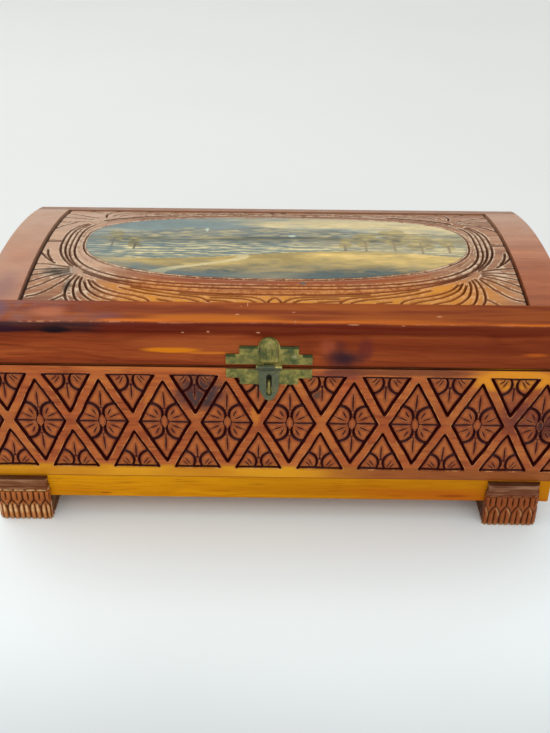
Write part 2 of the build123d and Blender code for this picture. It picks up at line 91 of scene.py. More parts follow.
def placed(name, data):
    """A new object in the scene."""
    made = bpy.data.objects.new(name, data)
    bpy.context.scene.collection.objects.link(made)
    return made


# Camera: lens, place and turn fitted to the photograph.
camera_lens_mm = 46.59
camera_sensor_mm = 36
camera_place = Vector((0.00546, -0.45798, 0.31446))
camera_dip = 0.5311
camera_turn = -0.011
camera_roll = 0.0064


def add_camera():
    ahead = (sin(camera_turn) * cos(camera_dip), cos(camera_turn) * cos(camera_dip), -sin(camera_dip))
    forward = Vector(ahead)
    level = Vector((cos(camera_turn), -sin(camera_turn), 0))
    upright = level.cross(forward)
    right = level * cos(camera_roll) + upright * sin(camera_roll)
    top = upright * cos(camera_roll) - level * sin(camera_roll)
    data = bpy.data.cameras.new("photo_camera")
    data.lens = camera_lens_mm
    data.sensor_width = camera_sensor_mm
    camera = placed("photo_camera", data)
    turn = Matrix((right, top, -forward)).transposed().to_4x4()
    camera.matrix_world = Matrix.Translation(camera_place) @ turn
    bpy.context.scene.camera = camera


class Shader:
    """One material: short calls for its nodes, and a colour that others are laid over.

    A colour is eight-bit sRGB or a socket. A mask is a number, a socket, or what between takes.
    """

    def __init__(self, name):
        self.material = bpy.data.materials.new(name)
        self.material.use_nodes = True
        self.tree = self.material.node_tree
        self.tree.nodes.clear()
        self.surface = self.node("BsdfPrincipled")
        self.node("OutputMaterial", {"Surface": self.surface.outputs["BSDF"]})
        # The piece's own coordinates, the part's frame at rest: metres, and x, y and z in millimetres.
        self.place = self.node("TexCoord").outputs["Object"]
        millimetres = self.vector("MULTIPLY", self.place, (1 / MM,) * 3)
        self.x, self.y, self.z = self.node("SeparateXYZ", {0: millimetres}).outputs
        self.colour = None

    def feed(self, socket, value):
        if isinstance(value, bpy.types.NodeSocket):
            self.tree.links.new(value, socket)
        else:
            socket.default_value = value

    def node(self, kind, inputs={}, **settings):
        node = self.tree.nodes.new("ShaderNode" + kind)
        for key, value in settings.items():
            setattr(node, key, value)
        for key, value in inputs.items():
            self.feed(node.inputs[key], value)
        return node

    def math(self, operation, first, second=0.0, third=0.0):
        return self.node("Math", {0: first, 1: second, 2: third}, operation=operation).outputs[0]

    def vector(self, operation, first, second=(0, 0, 0), output="Vector"):
        return self.node("VectorMath", {0: first, 1: second}, operation=operation).outputs[output]

    def shifted(self, value, noise, reach):
        return self.math("MULTIPLY_ADD", noise, reach, value)

    def all_of(self, *masks):
        result, *others = (self.between(*mask) if isinstance(mask, tuple) else mask for mask in masks)
        for mask in others:
            result = self.math("MULTIPLY", result, mask)
        return result

    def between(self, value, low, high, at_low=0.0, at_high=1.0):
        """value carried smoothly from low..high to at_low..at_high."""
        inputs = {"Value": value, "From Min": low, "From Max": high, "To Min": at_low, "To Max": at_high}
        return self.node("MapRange", inputs, interpolation_type="SMOOTHSTEP").outputs["Result"]

    def band(self, value, start, full, fading, end):
        """1 from full to fading, falling to 0 at start and at end."""
        return self.all_of((value, start, full), (value, end, fading))

    def stretched(self, vector, scale, shift=(0, 0, 0)):
        return self.node("Mapping", {"Vector": vector, "Scale": scale, "Location": shift}).outputs[0]

    def noise_at(self, vector, scale, detail, roughness, output="Fac", distortion=0.0):
        inputs = {"Vector": vector, "Scale": scale, "Detail": detail, "Roughness": roughness}
        return self.node("TexNoise", {**inputs, "Distortion": distortion}).outputs[output]

    def noise(self, scale, detail, roughness, stretch=None, distortion=0.0):
        """Noise over the piece, its coordinates stretched first if that is asked for."""
        vector = self.stretched(self.place, stretch) if stretch else self.place
        return self.noise_at(vector, scale, detail, roughness, distortion=distortion)

    def warped(self, scale, reach):
        """The coordinates pushed about by a slow noise, by up to reach metres along each axis."""
        cloud = self.noise_at(self.place, scale, 2.0, 0.5, "Color")
        centred = self.vector("SUBTRACT", cloud, (0.5, 0.5, 0.5))
        return self.vector("ADD", self.place, self.vector("MULTIPLY", centred, reach))

    def mix(self, factor, first, second):
        node = self.node("Mix", {0: self.all_of(factor)}, data_type="RGBA")
        for number, colour in ((6, first), (7, second)):
            self.feed(node.inputs[number], srgb(colour) if isinstance(colour, tuple) else colour)
        return node.outputs[2]

    def over(self, tint, *masks):
        """Lays a colour over the material's own where all the masks are."""
        self.colour = self.mix(self.all_of(*masks), self.colour, tint)

    def ramp(self, value, stops):
        node = self.node("ValToRGB", {0: value})
        elements = node.color_ramp.elements
        while len(elements) < len(stops):
            elements.new(0.5)
        for element, (position, tint) in zip(elements, stops):
            element.position = position
            element.color = srgb(tint)
        return node.outputs[0]

    def carried(self, name, output="Fac"):
        """A number or colour that the mesh carries at each vertex."""
        return self.node("Attribute", {}, attribute_name=name).outputs[output]

    def spot(self, centre, radii, wobble, inner):
        """1 at centre, falling to 0 at about radii (millimetres) from it, with a ragged edge."""
        scale = tuple(1 / (radius * MM) for radius in radii)
        shift = tuple(-c * MM * s for c, s in zip(centre, scale))
        distance = self.vector("LENGTH", self.stretched(self.place, scale, shift), output="Value")
        ragged = self.math("ADD", distance, self.math("MULTIPLY_ADD", wobble, 1.1, -0.55))
        return self.between(ragged, 1.0, inner)

    def stained(self, wobble, stains):
        """Marks at fixed places: centre, radii, colour, strength and the sharpness of the rim."""
        for centre, radii, tint, strength, inner in stains:
            self.over(tint, self.spot(centre, radii, wobble, inner), strength)

    def bump(self, height, strength, distance, **below):
        inputs = {"Height": height, "Strength": strength, "Distance": distance, **below}
        return self.node("Bump", inputs).outputs["Normal"]

    def finished(self, roughness, normal=None, **uniform):
        """The material, its surface fed; uniform names inputs, with _ for each space."""
        inputs = {"Base Color": self.colour, "Roughness": self.all_of(roughness)}
        if normal is not None:
            inputs["Normal"] = normal
        for key, value in uniform.items():
            inputs[key.replace("_", " ")] = value
        for key, value in inputs.items():
            self.feed(self.surface.inputs[key], value)
        return self.material


def add_piece(name, points, faces, node, material, crease, carried):
    """A mesh from points in millimetres that stands for a CAD node and moves with its body.

    Faces turn outward, smooth over gentle turns and creased at sharp ones. carried
    are numbers or colours for each point, by name.
    """
    mesh = bpy.data.meshes.new(name)
    mesh.from_pydata((np.asarray(points) * MM).tolist(), [], faces)
    for key, values in carried.items():
        values = np.asarray(values, dtype=np.float32)
        kind, field = ("FLOAT", "value") if values.ndim == 1 else ("FLOAT_COLOR", "color")
        mesh.attributes.new(key, kind, "POINT").data.foreach_set(field, values.ravel())
    mesh.materials.append(material)
    work = bmesh.new()
    work.from_mesh(mesh)
    bmesh.ops.recalc_face_normals(work, faces=work.faces)
    work.to_mesh(mesh)
    work.free()
    mesh.shade_smooth()
    mesh.set_sharp_from_angle(angle=radians(crease))
    piece = placed(name, mesh)
    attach(piece, frame["nodes"][node].get("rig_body"))
    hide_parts(node)


# Lines and triangles of a carving in its own plane.
groove_step = 0.6
# Shares of the spacing that points of a net keep from those before them.
beside_gap = 0.42
open_gap = 0.72


def arc(centre, radius, start, end, count=20):
    """Points along a circle, from start to end degrees."""
    turns = np.radians(np.linspace(start, end, count))
    return np.column_stack((centre[0] + radius * np.cos(turns), centre[1] + radius * np.sin(turns)))


def resampled(line, step):
    """The same line with points about step apart, its ends kept."""
    line = np.asarray(line, dtype=float)
    lengths = np.concatenate(([0], np.cumsum(np.hypot(*np.diff(line, axis=0).T))))
    count = max(2, int(round(lengths[-1] / step)) + 1)
    along = np.linspace(0, lengths[-1], count)
    return np.column_stack([np.interp(along, lengths, line[:, column]) for column in (0, 1)])


def through(points, count=8):
    """A smooth line through points, with count steps between each two."""
    points = np.asarray(points, dtype=float)
    ends = np.vstack((2 * points[0] - points[1], points, 2 * points[-1] - points[-2]))
    t = np.linspace(0, 1, count, endpoint=False)[:, None]
    runs = []
    for a, b, c, d in zip(ends[:-3], ends[1:-2], ends[2:-1], ends[3:]):
        square, cube = 2 * a - 5 * b + 4 * c - d, 3 * b - a - 3 * c + d
        runs.append(0.5 * (2 * b + (c - a) * t + square * t**2 + cube * t**3))
    return np.vstack(runs + [points[-1:]])


def beside(line, distance):
    """Points at a distance to one side of a line's points."""
    run = np.gradient(line, axis=0)
    run /= np.hypot(run[:, 0], run[:, 1])[:, None]
    return line + distance * np.column_stack((-run[:, 1], run[:, 0]))


class Scatter:
    """Points in a plane, each at least its own gap from those before it."""

    def __init__(self, cell):
        self.cell, self.cells, self.points = cell, {}, []

    def add(self, point, gap):
        column, row = int(point[0] // self.cell), int(point[1] // self.cell)
        for i in (column - 1, column, column + 1):
            for j in (row - 1, row, row + 1):
                for x, y in self.cells.get((i, j), ()):
                    if hypot(point[0] - x, point[1] - y) < gap:
                        return
        self.keep(point)

    def keep(self, point):
        """Adds the point whatever is near it, and gives its number."""
        x, y = float(point[0]), float(point[1])
        self.cells.setdefault((int(x // self.cell), int(y // self.cell)), []).append((x, y))
        self.points.append((x, y))
        return len(self.points) - 1


def net(lines, sides, low, high, spacing, inside=None):
    """Triangles over a plane: edges run along the lines, and points follow beside them.

    sides are the distances from each line at which points follow it. Returns the
    points and the triangles, which wind to the left.
    """
    scatter = Scatter(spacing)
    edges = []
    for line in lines:
        numbers = [scatter.keep(point) for point in line]
        edges += list(zip(numbers[:-1], numbers[1:]))
    for distance in sides:
        for line in lines:
            for point in np.concatenate((beside(line, distance), beside(line, -distance))):
                if low[0] <= point[0] <= high[0] and low[1] <= point[1] <= high[1]:
                    scatter.add(point, spacing * beside_gap)
    rows = np.arange(low[1], high[1] + spacing / 2, spacing * sqrt(3) / 2)
    for number, y in enumerate(rows):
        for x in np.arange(low[0] + (number % 2) * spacing / 2, high[0] + spacing / 2, spacing):
            if x <= high[0] and y <= high[1] and (inside is None or inside(x, y)):
                scatter.add((x, y), spacing * open_gap)
    flat = [Vector(point) for point in scatter.points]
    found = delaunay_2d_cdt(flat, edges, [], 0, 1e-4, False)
    points = np.array([tuple(point) for point in found[0]])
    triangles = np.array(found[2])
    a, b, c = (points[triangles[:, corner]] for corner in (0, 1, 2))
    turn = (b - a)[:, 0] * (c - a)[:, 1] - (b - a)[:, 1] * (c - a)[:, 0]
    triangles[turn < 0] = triangles[turn < 0][:, ::-1]
    keep = np.abs(turn) > 1e-7
    if inside is not None:
        middle = (a + b + c) / 3
        keep &= inside(middle[:, 0], middle[:, 1])
    return points, triangles[keep]


def rim(triangles):
    """The longest closed row of point numbers along the open edges of a sheet of triangles."""
    edges = {edge for a, b, c in triangles.tolist() for edge in ((a, b), (b, c), (c, a))}
    following = {}
    for a, b in edges:
        if (b, a) not in edges:
            following[a] = b
    loops = []
    while following:
        start, number = following.popitem()
        loop = [start]
        while number != start:
            loop.append(number)
            number = following.pop(number)
        loops.append(loop)
    return max(loops, key=len)


def bridge(first, second, closed=False):
    """Faces between two rows of point numbers, or between two closed rows."""
    if closed:
        first, second = (row[:1] + row[::-1] for row in (first, second))
    return [list(corners) for corners in zip(first, first[1:], second[1:], second)]


def groove(line, half, deep, taper=(1.0, 1.0)):
    """A groove along a line, with its half width narrowed towards each end by taper."""
    line = resampled(line, groove_step)
    t = np.linspace(0, 1, len(line))
    first = taper[0] + (1 - taper[0]) * np.clip(t * 4, 0, 1)
    last = taper[1] + (1 - taper[1]) * np.clip((1 - t) * 4, 0, 1)
    return line, half * np.minimum(first, last), deep


def grooves_at(points, grooves):
    """Signed distance to the nearest groove's edge, negative in it, and the depth there.

    A groove is its line, the half width at each of its points and its full depth.
    """
    edge = np.full(len(points), UNCUT)
    depth = np.zeros(len(points))
    for line, halves, deep in grooves:
        for start, end, half_0, half_1 in zip(line[:-1], line[1:], halves[:-1], halves[1:]):
            run = end - start
            along = np.clip((points - start) @ run / max(run @ run, 1e-9), 0, 1)
            near = np.hypot(*(points - start - along[:, None] * run).T)
            half = half_0 + (half_1 - half_0) * along
            edge = np.minimum(edge, near - half)
            depth = np.maximum(depth, deep * (1 - near / half))
    return edge, depth


# Uneven values over a plane.
def waves(x, y, size, seed):
    """Smooth uneven values of about -1 to 1 that change over about size millimetres."""
    random = np.random.default_rng(RANDOM_SEED + seed)
    total = np.zeros_like(x)
    for _ in range(7):
        heading, phase = random.random(2) * 2 * pi
        length = size * (0.7 + random.random())
        total += np.sin((x * cos(heading) + y * sin(heading)) * 2 * pi / length + phase)
    return total / 3.2


def value_noise(x, y, size, seed):
    """Smooth random values of 0 to 1 that change over size millimetres."""
    count = 97
    table = np.random.default_rng(RANDOM_SEED * 100 + seed).random((count, count))
    column, row = np.floor(x / size).astype(int), np.floor(y / size).astype(int)
    across, up = x / size - column, y / size - row
    across, up = across**2 * (3 - 2 * across), up**2 * (3 - 2 * up)

    def along(row):
        left, right = table[row % count, column % count], table[row % count, (column + 1) % count]
        return left * (1 - across) + right * across

    return along(row) * (1 - up) + along(row + 1) * up


def rough_noise(x, y, size, seed, octaves=4):
    """value_noise with finer and finer detail on it, still about 0 to 1."""
    total, weight = 0.0, 0.0
    for octave in range(octaves):
        share = 0.55**octave
        total = total + share * value_noise(x, y, size * 0.5**octave, seed + 31 * octave)
        weight += share
    return total / weight


# Front board: a lattice of straps with a diamond flower or half flowers in each cell.
lattice_pitch = 30.26
lattice_shift = 8.5
lattice_top_margin = 4.9
lattice_bottom_margin = 6.1
lattice_border = 0.9
lattice_spacing = 0.8
lattice_border_step = 0.75
strap_across = 4.2
strap_slope = 1.9
strap_groove_half = 0.74
strap_groove_depth = 1.6
board_round = 0.8
rim_round = 0.4
front_crease = 34
carving_wander = 0.17
# How deep the wood beside a cut is hollowed, at the cut and away from it, and how fast that fades.
cell_shoulder, cell_hollow, cell_shoulder_width = 0.62, 0.12, 1.0
strap_shoulder, strap_shoulder_width = 0.16, 0.3
board_low, board_high = box_mm("front_board")
lattice_height = board_high[2] - board_low[2] - lattice_top_margin - lattice_bottom_margin
lattice_middle = board_low[2] + lattice_bottom_margin + lattice_height / 2
half_pitch = lattice_pitch / 2
half_lattice = lattice_height / 2
strap_edge = strap_across / 2
groove_wide = strap_groove_half / sin(atan2(strap_slope, 1))
# Short cuts beside a flower's middle, and beside a half flower's as the distance from it.
flower_ticks = (((3.6, 1.9), (7.6, 3.9)), ((2.9, 3.5), (4.6, 6.9)))
half_flower_ticks = (((3.3, 25.3), (5.5, 21.7)), ((4.6, 25.4), (7.0, 23.3)))


def quarter_grooves():
    """The V-cuts in a quarter of a cell: u from the flower's centre, v up from it."""
    edge = half_pitch - strap_edge - groove_wide
    half_tip = (strap_edge + groove_wide) * strap_slope
    half_base = half_pitch + strap_edge + groove_wide - half_lattice / strap_slope
    pointed = (0.1, 0.1)
    boss = [(1.85, 0), (1.75, 1.4), (1.1, 2.9), (0.35, 3.7), (0, 3.9)]
    cuts = [
        ([(edge, 0), (0, edge * strap_slope)], strap_groove_half, strap_groove_depth),
        ([(half_pitch, half_tip), (half_base, half_lattice)], strap_groove_half, strap_groove_depth),
        ([(half_base, half_lattice), (half_pitch, half_lattice)], 0.52, 1.3),
        (arc((6.7, 4.4), 5.8, 87, 198), 0.8, 1.5, (1, 0.5)),
        (arc((half_pitch - 7.0, 23.0), 5.8, 31, -82), 0.72, 1.4, (0.6, 1)),
        ([(2.1, 0), (11.6, 0)], 0.54, 1.05, (0.25, 1)),
        ([(0, 7.4), (0, 17.0)], 0.38, 0.85, pointed),
        ([(half_pitch, 13.1), (half_pitch, 21.6)], 0.36, 0.8, pointed),
        (boss, 0.24, 0.6),
    ]
    cuts += [(tick, 0.36, 0.7, (0.1, 0.2)) for tick in flower_ticks]
    for tick in half_flower_ticks:
        cuts.append(([(half_pitch - u, v) for u, v in tick], 0.28, 0.55, (0.1, 0.2)))
    return [groove(*cut) for cut in cuts]


def in_cell(u, v):
    """1 where a point of a quarter lies in the flower or half flower, 0 on a strap."""
    flower = (half_pitch - strap_edge - groove_wide - u) * strap_slope > v
    half_flower = (u - half_pitch) * -strap_slope < v - (strap_edge + groove_wide) * strap_slope
    return (flower | (half_flower & (v < half_lattice))).astype(float)


def lattice_strip(reach):
    """The carved band of the front: x, z, edge distance, depth and cell of each point, and triangles."""
    grooves = quarter_grooves()
    low, high = (0.0, 0.0), (half_pitch, reach)
    border = [resampled(line, lattice_border_step) for line in (
        [low, (half_pitch, 0)],
        [(0, reach), high],
        [low, (0, reach)],
        [(half_pitch, 0), high],
    )]
    sides = (strap_groove_half, strap_groove_half + 0.3)
    points, triangles = net([g[0] for g in grooves] + border, sides, low, high, lattice_spacing)
    edge, depth = grooves_at(points, grooves)
    cell = in_cell(*points.T)
    beyond = np.clip(edge, 0, None)
    in_cells = cell_hollow + cell_shoulder * np.exp(-beyond / cell_shoulder_width)
    on_straps = strap_shoulder * np.exp(-beyond / strap_shoulder_width)
    depth = np.maximum(depth, np.where(cell > 0, in_cells, on_straps))
    count = int((board_high[0] - board_low[0]) / lattice_pitch / 2) + 2
    rows, faces = [], []
    for place in range(-count, count + 1):
        for flip_u, flip_v in ((1, 1), (1, -1), (-1, 1), (-1, -1)):
            x = lattice_shift + place * lattice_pitch + flip_u * points[:, 0]
            z = lattice_middle + flip_v * points[:, 1]
            faces.append((triangles if flip_u == flip_v else triangles[:, ::-1]) + len(rows) * len(points))
            rows.append(np.column_stack((x, z, edge, depth, cell)))
    # Points that share a place become one.
    rows = np.concatenate(rows)
    keys = np.round(rows[:, :2] / TOUCH).astype(np.int64)
    _, first, numbers = np.unique(keys, axis=0, return_index=True, return_inverse=True)
    return rows[first], numbers.ravel()[np.concatenate(faces)]


def add_front_board(material):
    reach = half_lattice + lattice_border
    rows, faces = lattice_strip(reach)
    x, z, edge, depth, cell = rows.T
    calm = np.clip(reach - np.abs(z - lattice_middle), 0, 1)
    depth = depth * (1 + 0.16 * waves(x, z, 19, 1))
    depth = depth + 0.05 * (1 + waves(x, z, 9, 2)) * calm
    moved_x = x + carving_wander * waves(x, z, 15, 3) * calm
    moved_z = z + carving_wander * waves(x, z, 15, 4) * calm
    front, back, top = board_low[1], board_high[1], board_high[2]
    points = np.column_stack((moved_x, front + depth * calm, moved_z)).tolist()
    faces = faces.tolist()
    row, bottom_row = (np.flatnonzero(np.abs(z - lattice_middle - side * reach) < TOUCH) for side in (1, -1))
    row, bottom_row = row[np.argsort(x[row])], bottom_row[np.argsort(x[bottom_row])]
    along = x[row]
    path = [
        (front + rim_round * (1 - cos(turn)), top - rim_round * (1 - sin(turn)))
        for turn in np.radians((0, 30, 60, 90))
    ]
    path += [(back, top), (back, board_low[2]), (front, board_low[2])]
    for y, height in path:
        new_row = np.arange(len(points), len(points) + len(row))
        points += [[place, y, height] for place in along]
        faces += bridge(row, new_row)
        row = new_row
    faces += bridge(row, bottom_row)
    plain = np.full(len(points) - len(edge), UNCUT)
    mesh = bpy.data.meshes.new("front_board_uncut")
    mesh.from_pydata(points, [], faces)
    for key, values in (("cut", (edge, plain)), ("cell", (cell, plain * 0))):
        values = np.concatenate(values).astype(np.float32)
        mesh.attributes.new(key, "FLOAT", "POINT").data.foreach_set("value", values)
    # The strip is cut to the board's length, closed, and rounded at its ends.
    work = bmesh.new()
    work.from_mesh(mesh)
    for side in (-1, 1):
        for share in (1.0, 0.6, 0.3, 0.1, 0.0):
            bmesh.ops.bisect_plane(
                work, geom=work.verts[:] + work.edges[:] + work.faces[:],
                plane_co=(side * (board_high[0] - board_round * share), 0, 0),
                plane_no=(side, 0, 0), clear_outer=share == 0.0,
            )
        end = [
            edge for edge in work.edges
            if edge.is_boundary and all(vertex.co.x * side > board_high[0] - 0.01 for vertex in edge.verts)
        ]
        bmesh.ops.holes_fill(work, edges=end, sides=0)
    for vertex in work.verts:
        past = abs(vertex.co.x) - (board_high[0] - board_round)
        if past > 0:
            inset = board_round - sqrt(max(board_round**2 - past**2, 0))
            vertex.co.y = max(vertex.co.y, front + inset)
    points = [tuple(vertex.co) for vertex in work.verts]
    work.verts.index_update()
    faces = [[vertex.index for vertex in face.verts] for face in work.faces]
    layers = work.verts.layers.float
    carried = {key: [vertex[layers[key]] for vertex in work.verts] for key in ("cut", "cell")}
    work.free()
    bpy.data.meshes.remove(mesh)
    add_piece("carved_front", points, faces, "front_board", material, front_crease, carried)


# Lid panel: rings round the picture, acanthus fans in the corners and leaf lobes along the edges.
picture_low, picture_high = box_mm("picture_print")
panel_low, panel_high = box_mm("lid_top_panel")
picture_middle = (picture_low + picture_high) / 2
picture_half = (picture_high - picture_low) / 2
picture_squareness = 2.57
picture_thickness = 0.4
dome_radius = 297.2
# Each ring cut: how far it lies from the picture at the ends, the front and the back,
# how square it is, and its share of the full depth at the ends and at the front.
panel_rings = (
    (1.1, 1.0, 0.9, 2.6, 0.9, 0.9),
    (3.0, 3.7, 2.6, 2.8, 0.5, 0.2),
    (4.9, 6.3, 4.6, 3.1, 1.0, 1.0),
    (7.4, 9.0, 6.6, 3.05, 0.9, 1.0),
    (9.9, 11.2, 8.4, 2.8, 1.0, 0.45),
    (12.6, 13.6, 10.4, 2.62, 1.0, 1.0),
)
# Leaf cuts of the front right quarter, from the front edge inward, as x and y.
panel_leaves = (
    ((4.4, -57.2), (5.6, -54.6), (9.0, -52.3), (16, -50.9), (30, -50.2), (46, -48.8)),
    ((9.5, -55.4), (14, -53.2), (22, -52.3), (31, -52.0)),
    ((19.2, -57.2), (21, -55.6), (26, -54.5), (32, -53.9)),
    ((31, -57.2), (33, -54), (38, -51.5), (48, -49.8), (60, -47.2), (70, -44.2)),
    ((37, -55.2), (43, -53), (54, -51), (66, -48.2), (76, -44.4)),
    ((47.9, -57.2), (50, -55.4), (56, -54)),
    ((59.6, -57.2), (61.5, -54), (66, -51.6), (76, -48.9), (85, -44.6), (90, -39)),
    ((65, -55.6), (72, -53), (81, -50), (88.6, -44.6), (92, -38)),
    ((73.8, -57.2), (77, -55.2), (84, -52.6), (90.6, -47), (93.8, -39.5)),
    ((83.8, -57.2), (89, -54.2), (93.6, -48.6), (95.6, -41.5), (95.4, -36)),
    ((92.5, -57.2), (95.7, -53.6), (97.8, -47), (98, -40), (97, -35)),
    ((98.8, -56.6), (101, -51.5), (101.4, -45), (100.2, -38.5), (98.6, -34)),
    ((101.4, -50.8), (104.5, -53.8), (108.5, -57.2)),
    ((101, -34), (104.5, -40), (109.4, -46.5), (114.5, -51), (119, -52.6)),
    ((101.6, -32.6), (108, -37), (114.5, -42.8), (120.4, -47)),
    ((102.6, -31), (109, -33.6), (115, -37), (120.4, -40.6)),
    ((103, -29.6), (110, -31), (120.4, -34.5)),
    ((103.2, -28), (110, -28), (120.4, -29.2)),
    ((103.6, -26.4), (110, -24.8), (116, -23.6), (120.4, -23.4)),
    ((113.5, -19.6), (116.6, -13.6), (118.2, -6.6)),
    ((111.5, -22.4), (116.5, -17.4), (120.4, -11.4)),
)
panel_bars = (((113.8, 2.6), (120.4, 2.4)), ((113.6, 4.4), (120.4, 4.2)))
medallion = ((-1.9, -57.2), (-2.2, -54.2), (0.7, -51.9), (3.5, -54.2), (3.2, -57.2))
panel_step = 0.7
panel_spacing = 0.92
panel_crease = 50
panel_cut_half = 0.7
panel_cut_depth = 1.3
panel_shoulder, panel_shoulder_width = 0.42, 1.1
panel_uncut = 20.0
picture_bed = 0.02
left_gap = 1.3
right_gap = 0.9
gap_depth = 1.6
# The middle of a fan, from the picture's middle, where the rings die out.
fan_x = 100.0
fan_y = 33.0


def on_dome(x, y, depth):
    """Points that lie a depth under the dome."""
    crown = panel_high[2] - dome_radius
    return np.column_stack((x, y, crown + np.sqrt(dome_radius**2 - y**2) - depth))


def squared_oval(grow_ends, grow_front, grow_back, squareness, count=720):
    """A closed line round the picture, that far outside its edge."""
    turns = np.linspace(0, 2 * pi, count + 1)
    along, across = np.cos(turns), np.sin(turns)
    power = 2 / squareness
    wide = picture_half[1] + np.where(across > 0, grow_back, grow_front)
    x = (picture_half[0] + grow_ends) * np.sign(along) * np.abs(along) ** power
    y = wide * np.sign(across) * np.abs(across) ** power
    return np.column_stack((picture_middle[0] + x, picture_middle[1] + y))


def picture_oval(grow):
    return squared_oval(grow, grow, grow, picture_squareness)


def inside_picture(x, y, grow):
    u = np.abs(x - picture_middle[0]) / (picture_half[0] + grow)
    v = np.abs(y - picture_middle[1]) / (picture_half[1] + grow)
    return u**picture_squareness + v**picture_squareness < 1


def mirrored(line, side, row):
    """A line of the front right quarter carried to the quarter at that side and row."""
    x, y = np.asarray(line, dtype=float).T
    if side < 0:
        x = 2 * picture_middle[0] - x
    if row > 0:
        front = (panel_low[1], picture_low[1], picture_middle[1])
        back = (panel_high[1], picture_high[1], picture_middle[1])
        y = np.interp(y, front, back)
    return np.column_stack((x, y))


def panel_cuts():
    """The leaf, medallion and bar cuts of the whole panel, as lines."""
    lines = []
    for row in (-1, 1):
        for side in (-1, 1):
            lines += [mirrored(leaf, side, row) for leaf in panel_leaves[::1 if row < 0 else 2]]
        lines.append(mirrored(medallion, 1, row))
    lines = [through(line) for line in lines]
    lines += [mirrored(bar, side, -1) for side in (-1, 1) for bar in panel_bars]
    return [resampled(line, panel_step) for line in lines]


def ring_distance(x, y, ring):
    """About how far points lie outside a ring, negative inside it."""
    ends, front, back, square = ring[:4]
    across = y - picture_middle[1]
    long, wide = picture_half[0] + ends, picture_half[1] + np.where(across > 0, back, front)
    u, v = np.abs(x - picture_middle[0]) / long, np.abs(across) / wide
    level = np.maximum((u**square + v**square) ** (1 / square), 1e-6)
    slope = np.hypot(u ** (square - 1) / long, v ** (square - 1) / wide)
    return (level - 1) / (slope * level ** (1 - square))


def nearest(points, marks):
    """The distance from each point to the nearest mark."""
    tree = KDTree(len(marks))
    for number, mark in enumerate(marks):
        tree.insert((mark[0], mark[1], 0), number)
    tree.balance()
    return np.array([tree.find((x, y, 0))[2] for x, y in points])


def add_lid_panel(material):
    low, high = panel_low[:2], panel_high[:2]
    cuts = [np.clip(line, low, high) for line in panel_cuts()]
    rings = [resampled(squared_oval(*ring[:4]), panel_step) for ring in panel_rings]
    corners = [(low[0], low[1]), (high[0], low[1]), (high[0], high[1]), (low[0], high[1]), (low[0], low[1])]
    border = [resampled(corners[i:i + 2], panel_step) for i in range(4)]
    gap_edges = (low[0] + left_gap - 0.1, low[0] + left_gap, high[0] - right_gap, high[0] - right_gap + 0.1)
    gaps = [resampled([(edge, low[1]), (edge, high[1])], panel_step) for edge in gap_edges]
    picture_edge = [resampled(picture_oval(grow), 1.0) for grow in (0.05, -0.1)]
    lines = cuts + rings + border + gaps + picture_edge
    points, triangles = net(lines, (panel_cut_half, panel_cut_half + 0.45), low, high, panel_spacing)
    x, y = points.T
    distance = nearest(points, np.concatenate(cuts))
    depth = np.clip(1 - distance / panel_cut_half, 0, 1)
    from_middle = np.abs(x - picture_middle[0])
    endness = np.clip(from_middle / picture_half[0] * 2 - 0.9, 0, 1)
    fans = np.hypot(from_middle - fan_x, np.abs(y - 3.0) - fan_y)
    for ring in panel_rings:
        away = np.abs(ring_distance(x, y, ring))
        share = (ring[5] + (ring[4] - ring[5]) * endness) * np.clip(fans / 4 - 0.3, 0, 1)
        depth = np.maximum(depth, share * np.clip(1 - away / panel_cut_half, 0, 1))
        distance = np.minimum(distance, away + 2.0 * (1 - share))
    depth = panel_cut_depth * depth * (1 + 0.2 * waves(x, y, 17, 11))
    depth = depth + panel_shoulder * np.exp(-distance / panel_shoulder_width)
    depth = depth + 0.05 * (1 + waves(x, y, 7, 12))
    depth = np.where(inside_picture(x, y, 1.0), np.minimum(depth, 0.25), depth)
    depth = np.where(inside_picture(x, y, -0.05), picture_thickness + picture_bed, depth)
    in_gap = (x < gap_edges[0] + 0.05) | (x > gap_edges[3] - 0.05)
    top = on_dome(x, y, np.where(in_gap, gap_depth, depth))
    loop = rim(triangles)
    base = top[loop].copy()
    base[:, 2] = panel_low[2]
    base_loop = list(range(len(top), len(top) + len(loop)))
    faces = triangles.tolist() + bridge(loop, base_loop, closed=True) + [base_loop]
    plain = np.full(len(loop), panel_uncut)
    carried = {
        "cut": np.concatenate((distance - panel_cut_half, plain)),
        "outside": np.concatenate((ring_distance(x, y, (0, 0, 0, picture_squareness)), plain)),
    }
    points = np.concatenate((top, base))
    add_piece("carved_panel", points, faces, "lid_top_panel", material, panel_crease, carried)


# The picture: hills as place, width and height, and trees as place across and up, width and height.
picture_hills = ((-0.12, 0.2, 0.24), (-0.5, 0.16, 0.16), (0.3, 0.25, 0.10))
picture_trees = (
    (0.62, 0.10, 0.13, 0.44), (0.47, 0.02, 0.09, 0.34), (0.76, -0.02, 0.11, 0.38), (0.36, -0.12, 0.05, 0.2),
    (-0.86, 0.06, 0.07, 0.3), (-0.74, -0.1, 0.06, 0.22), (0.9, -0.1, 0.06, 0.26),
)
leaves_per_tree = 16
print_inset = 0.06
print_spacing, print_under_spacing = 0.62, 5.0


def oils(first, second, share):
    """Two oil colours, eight-bit or already linear, blended at each point by its share."""
    first, second = (np.array(srgb(c)[:3]) if isinstance(c, tuple) else c for c in (first, second))
    share = np.clip(share, 0, 1)[..., None]
    return first * (1 - share) + second * share


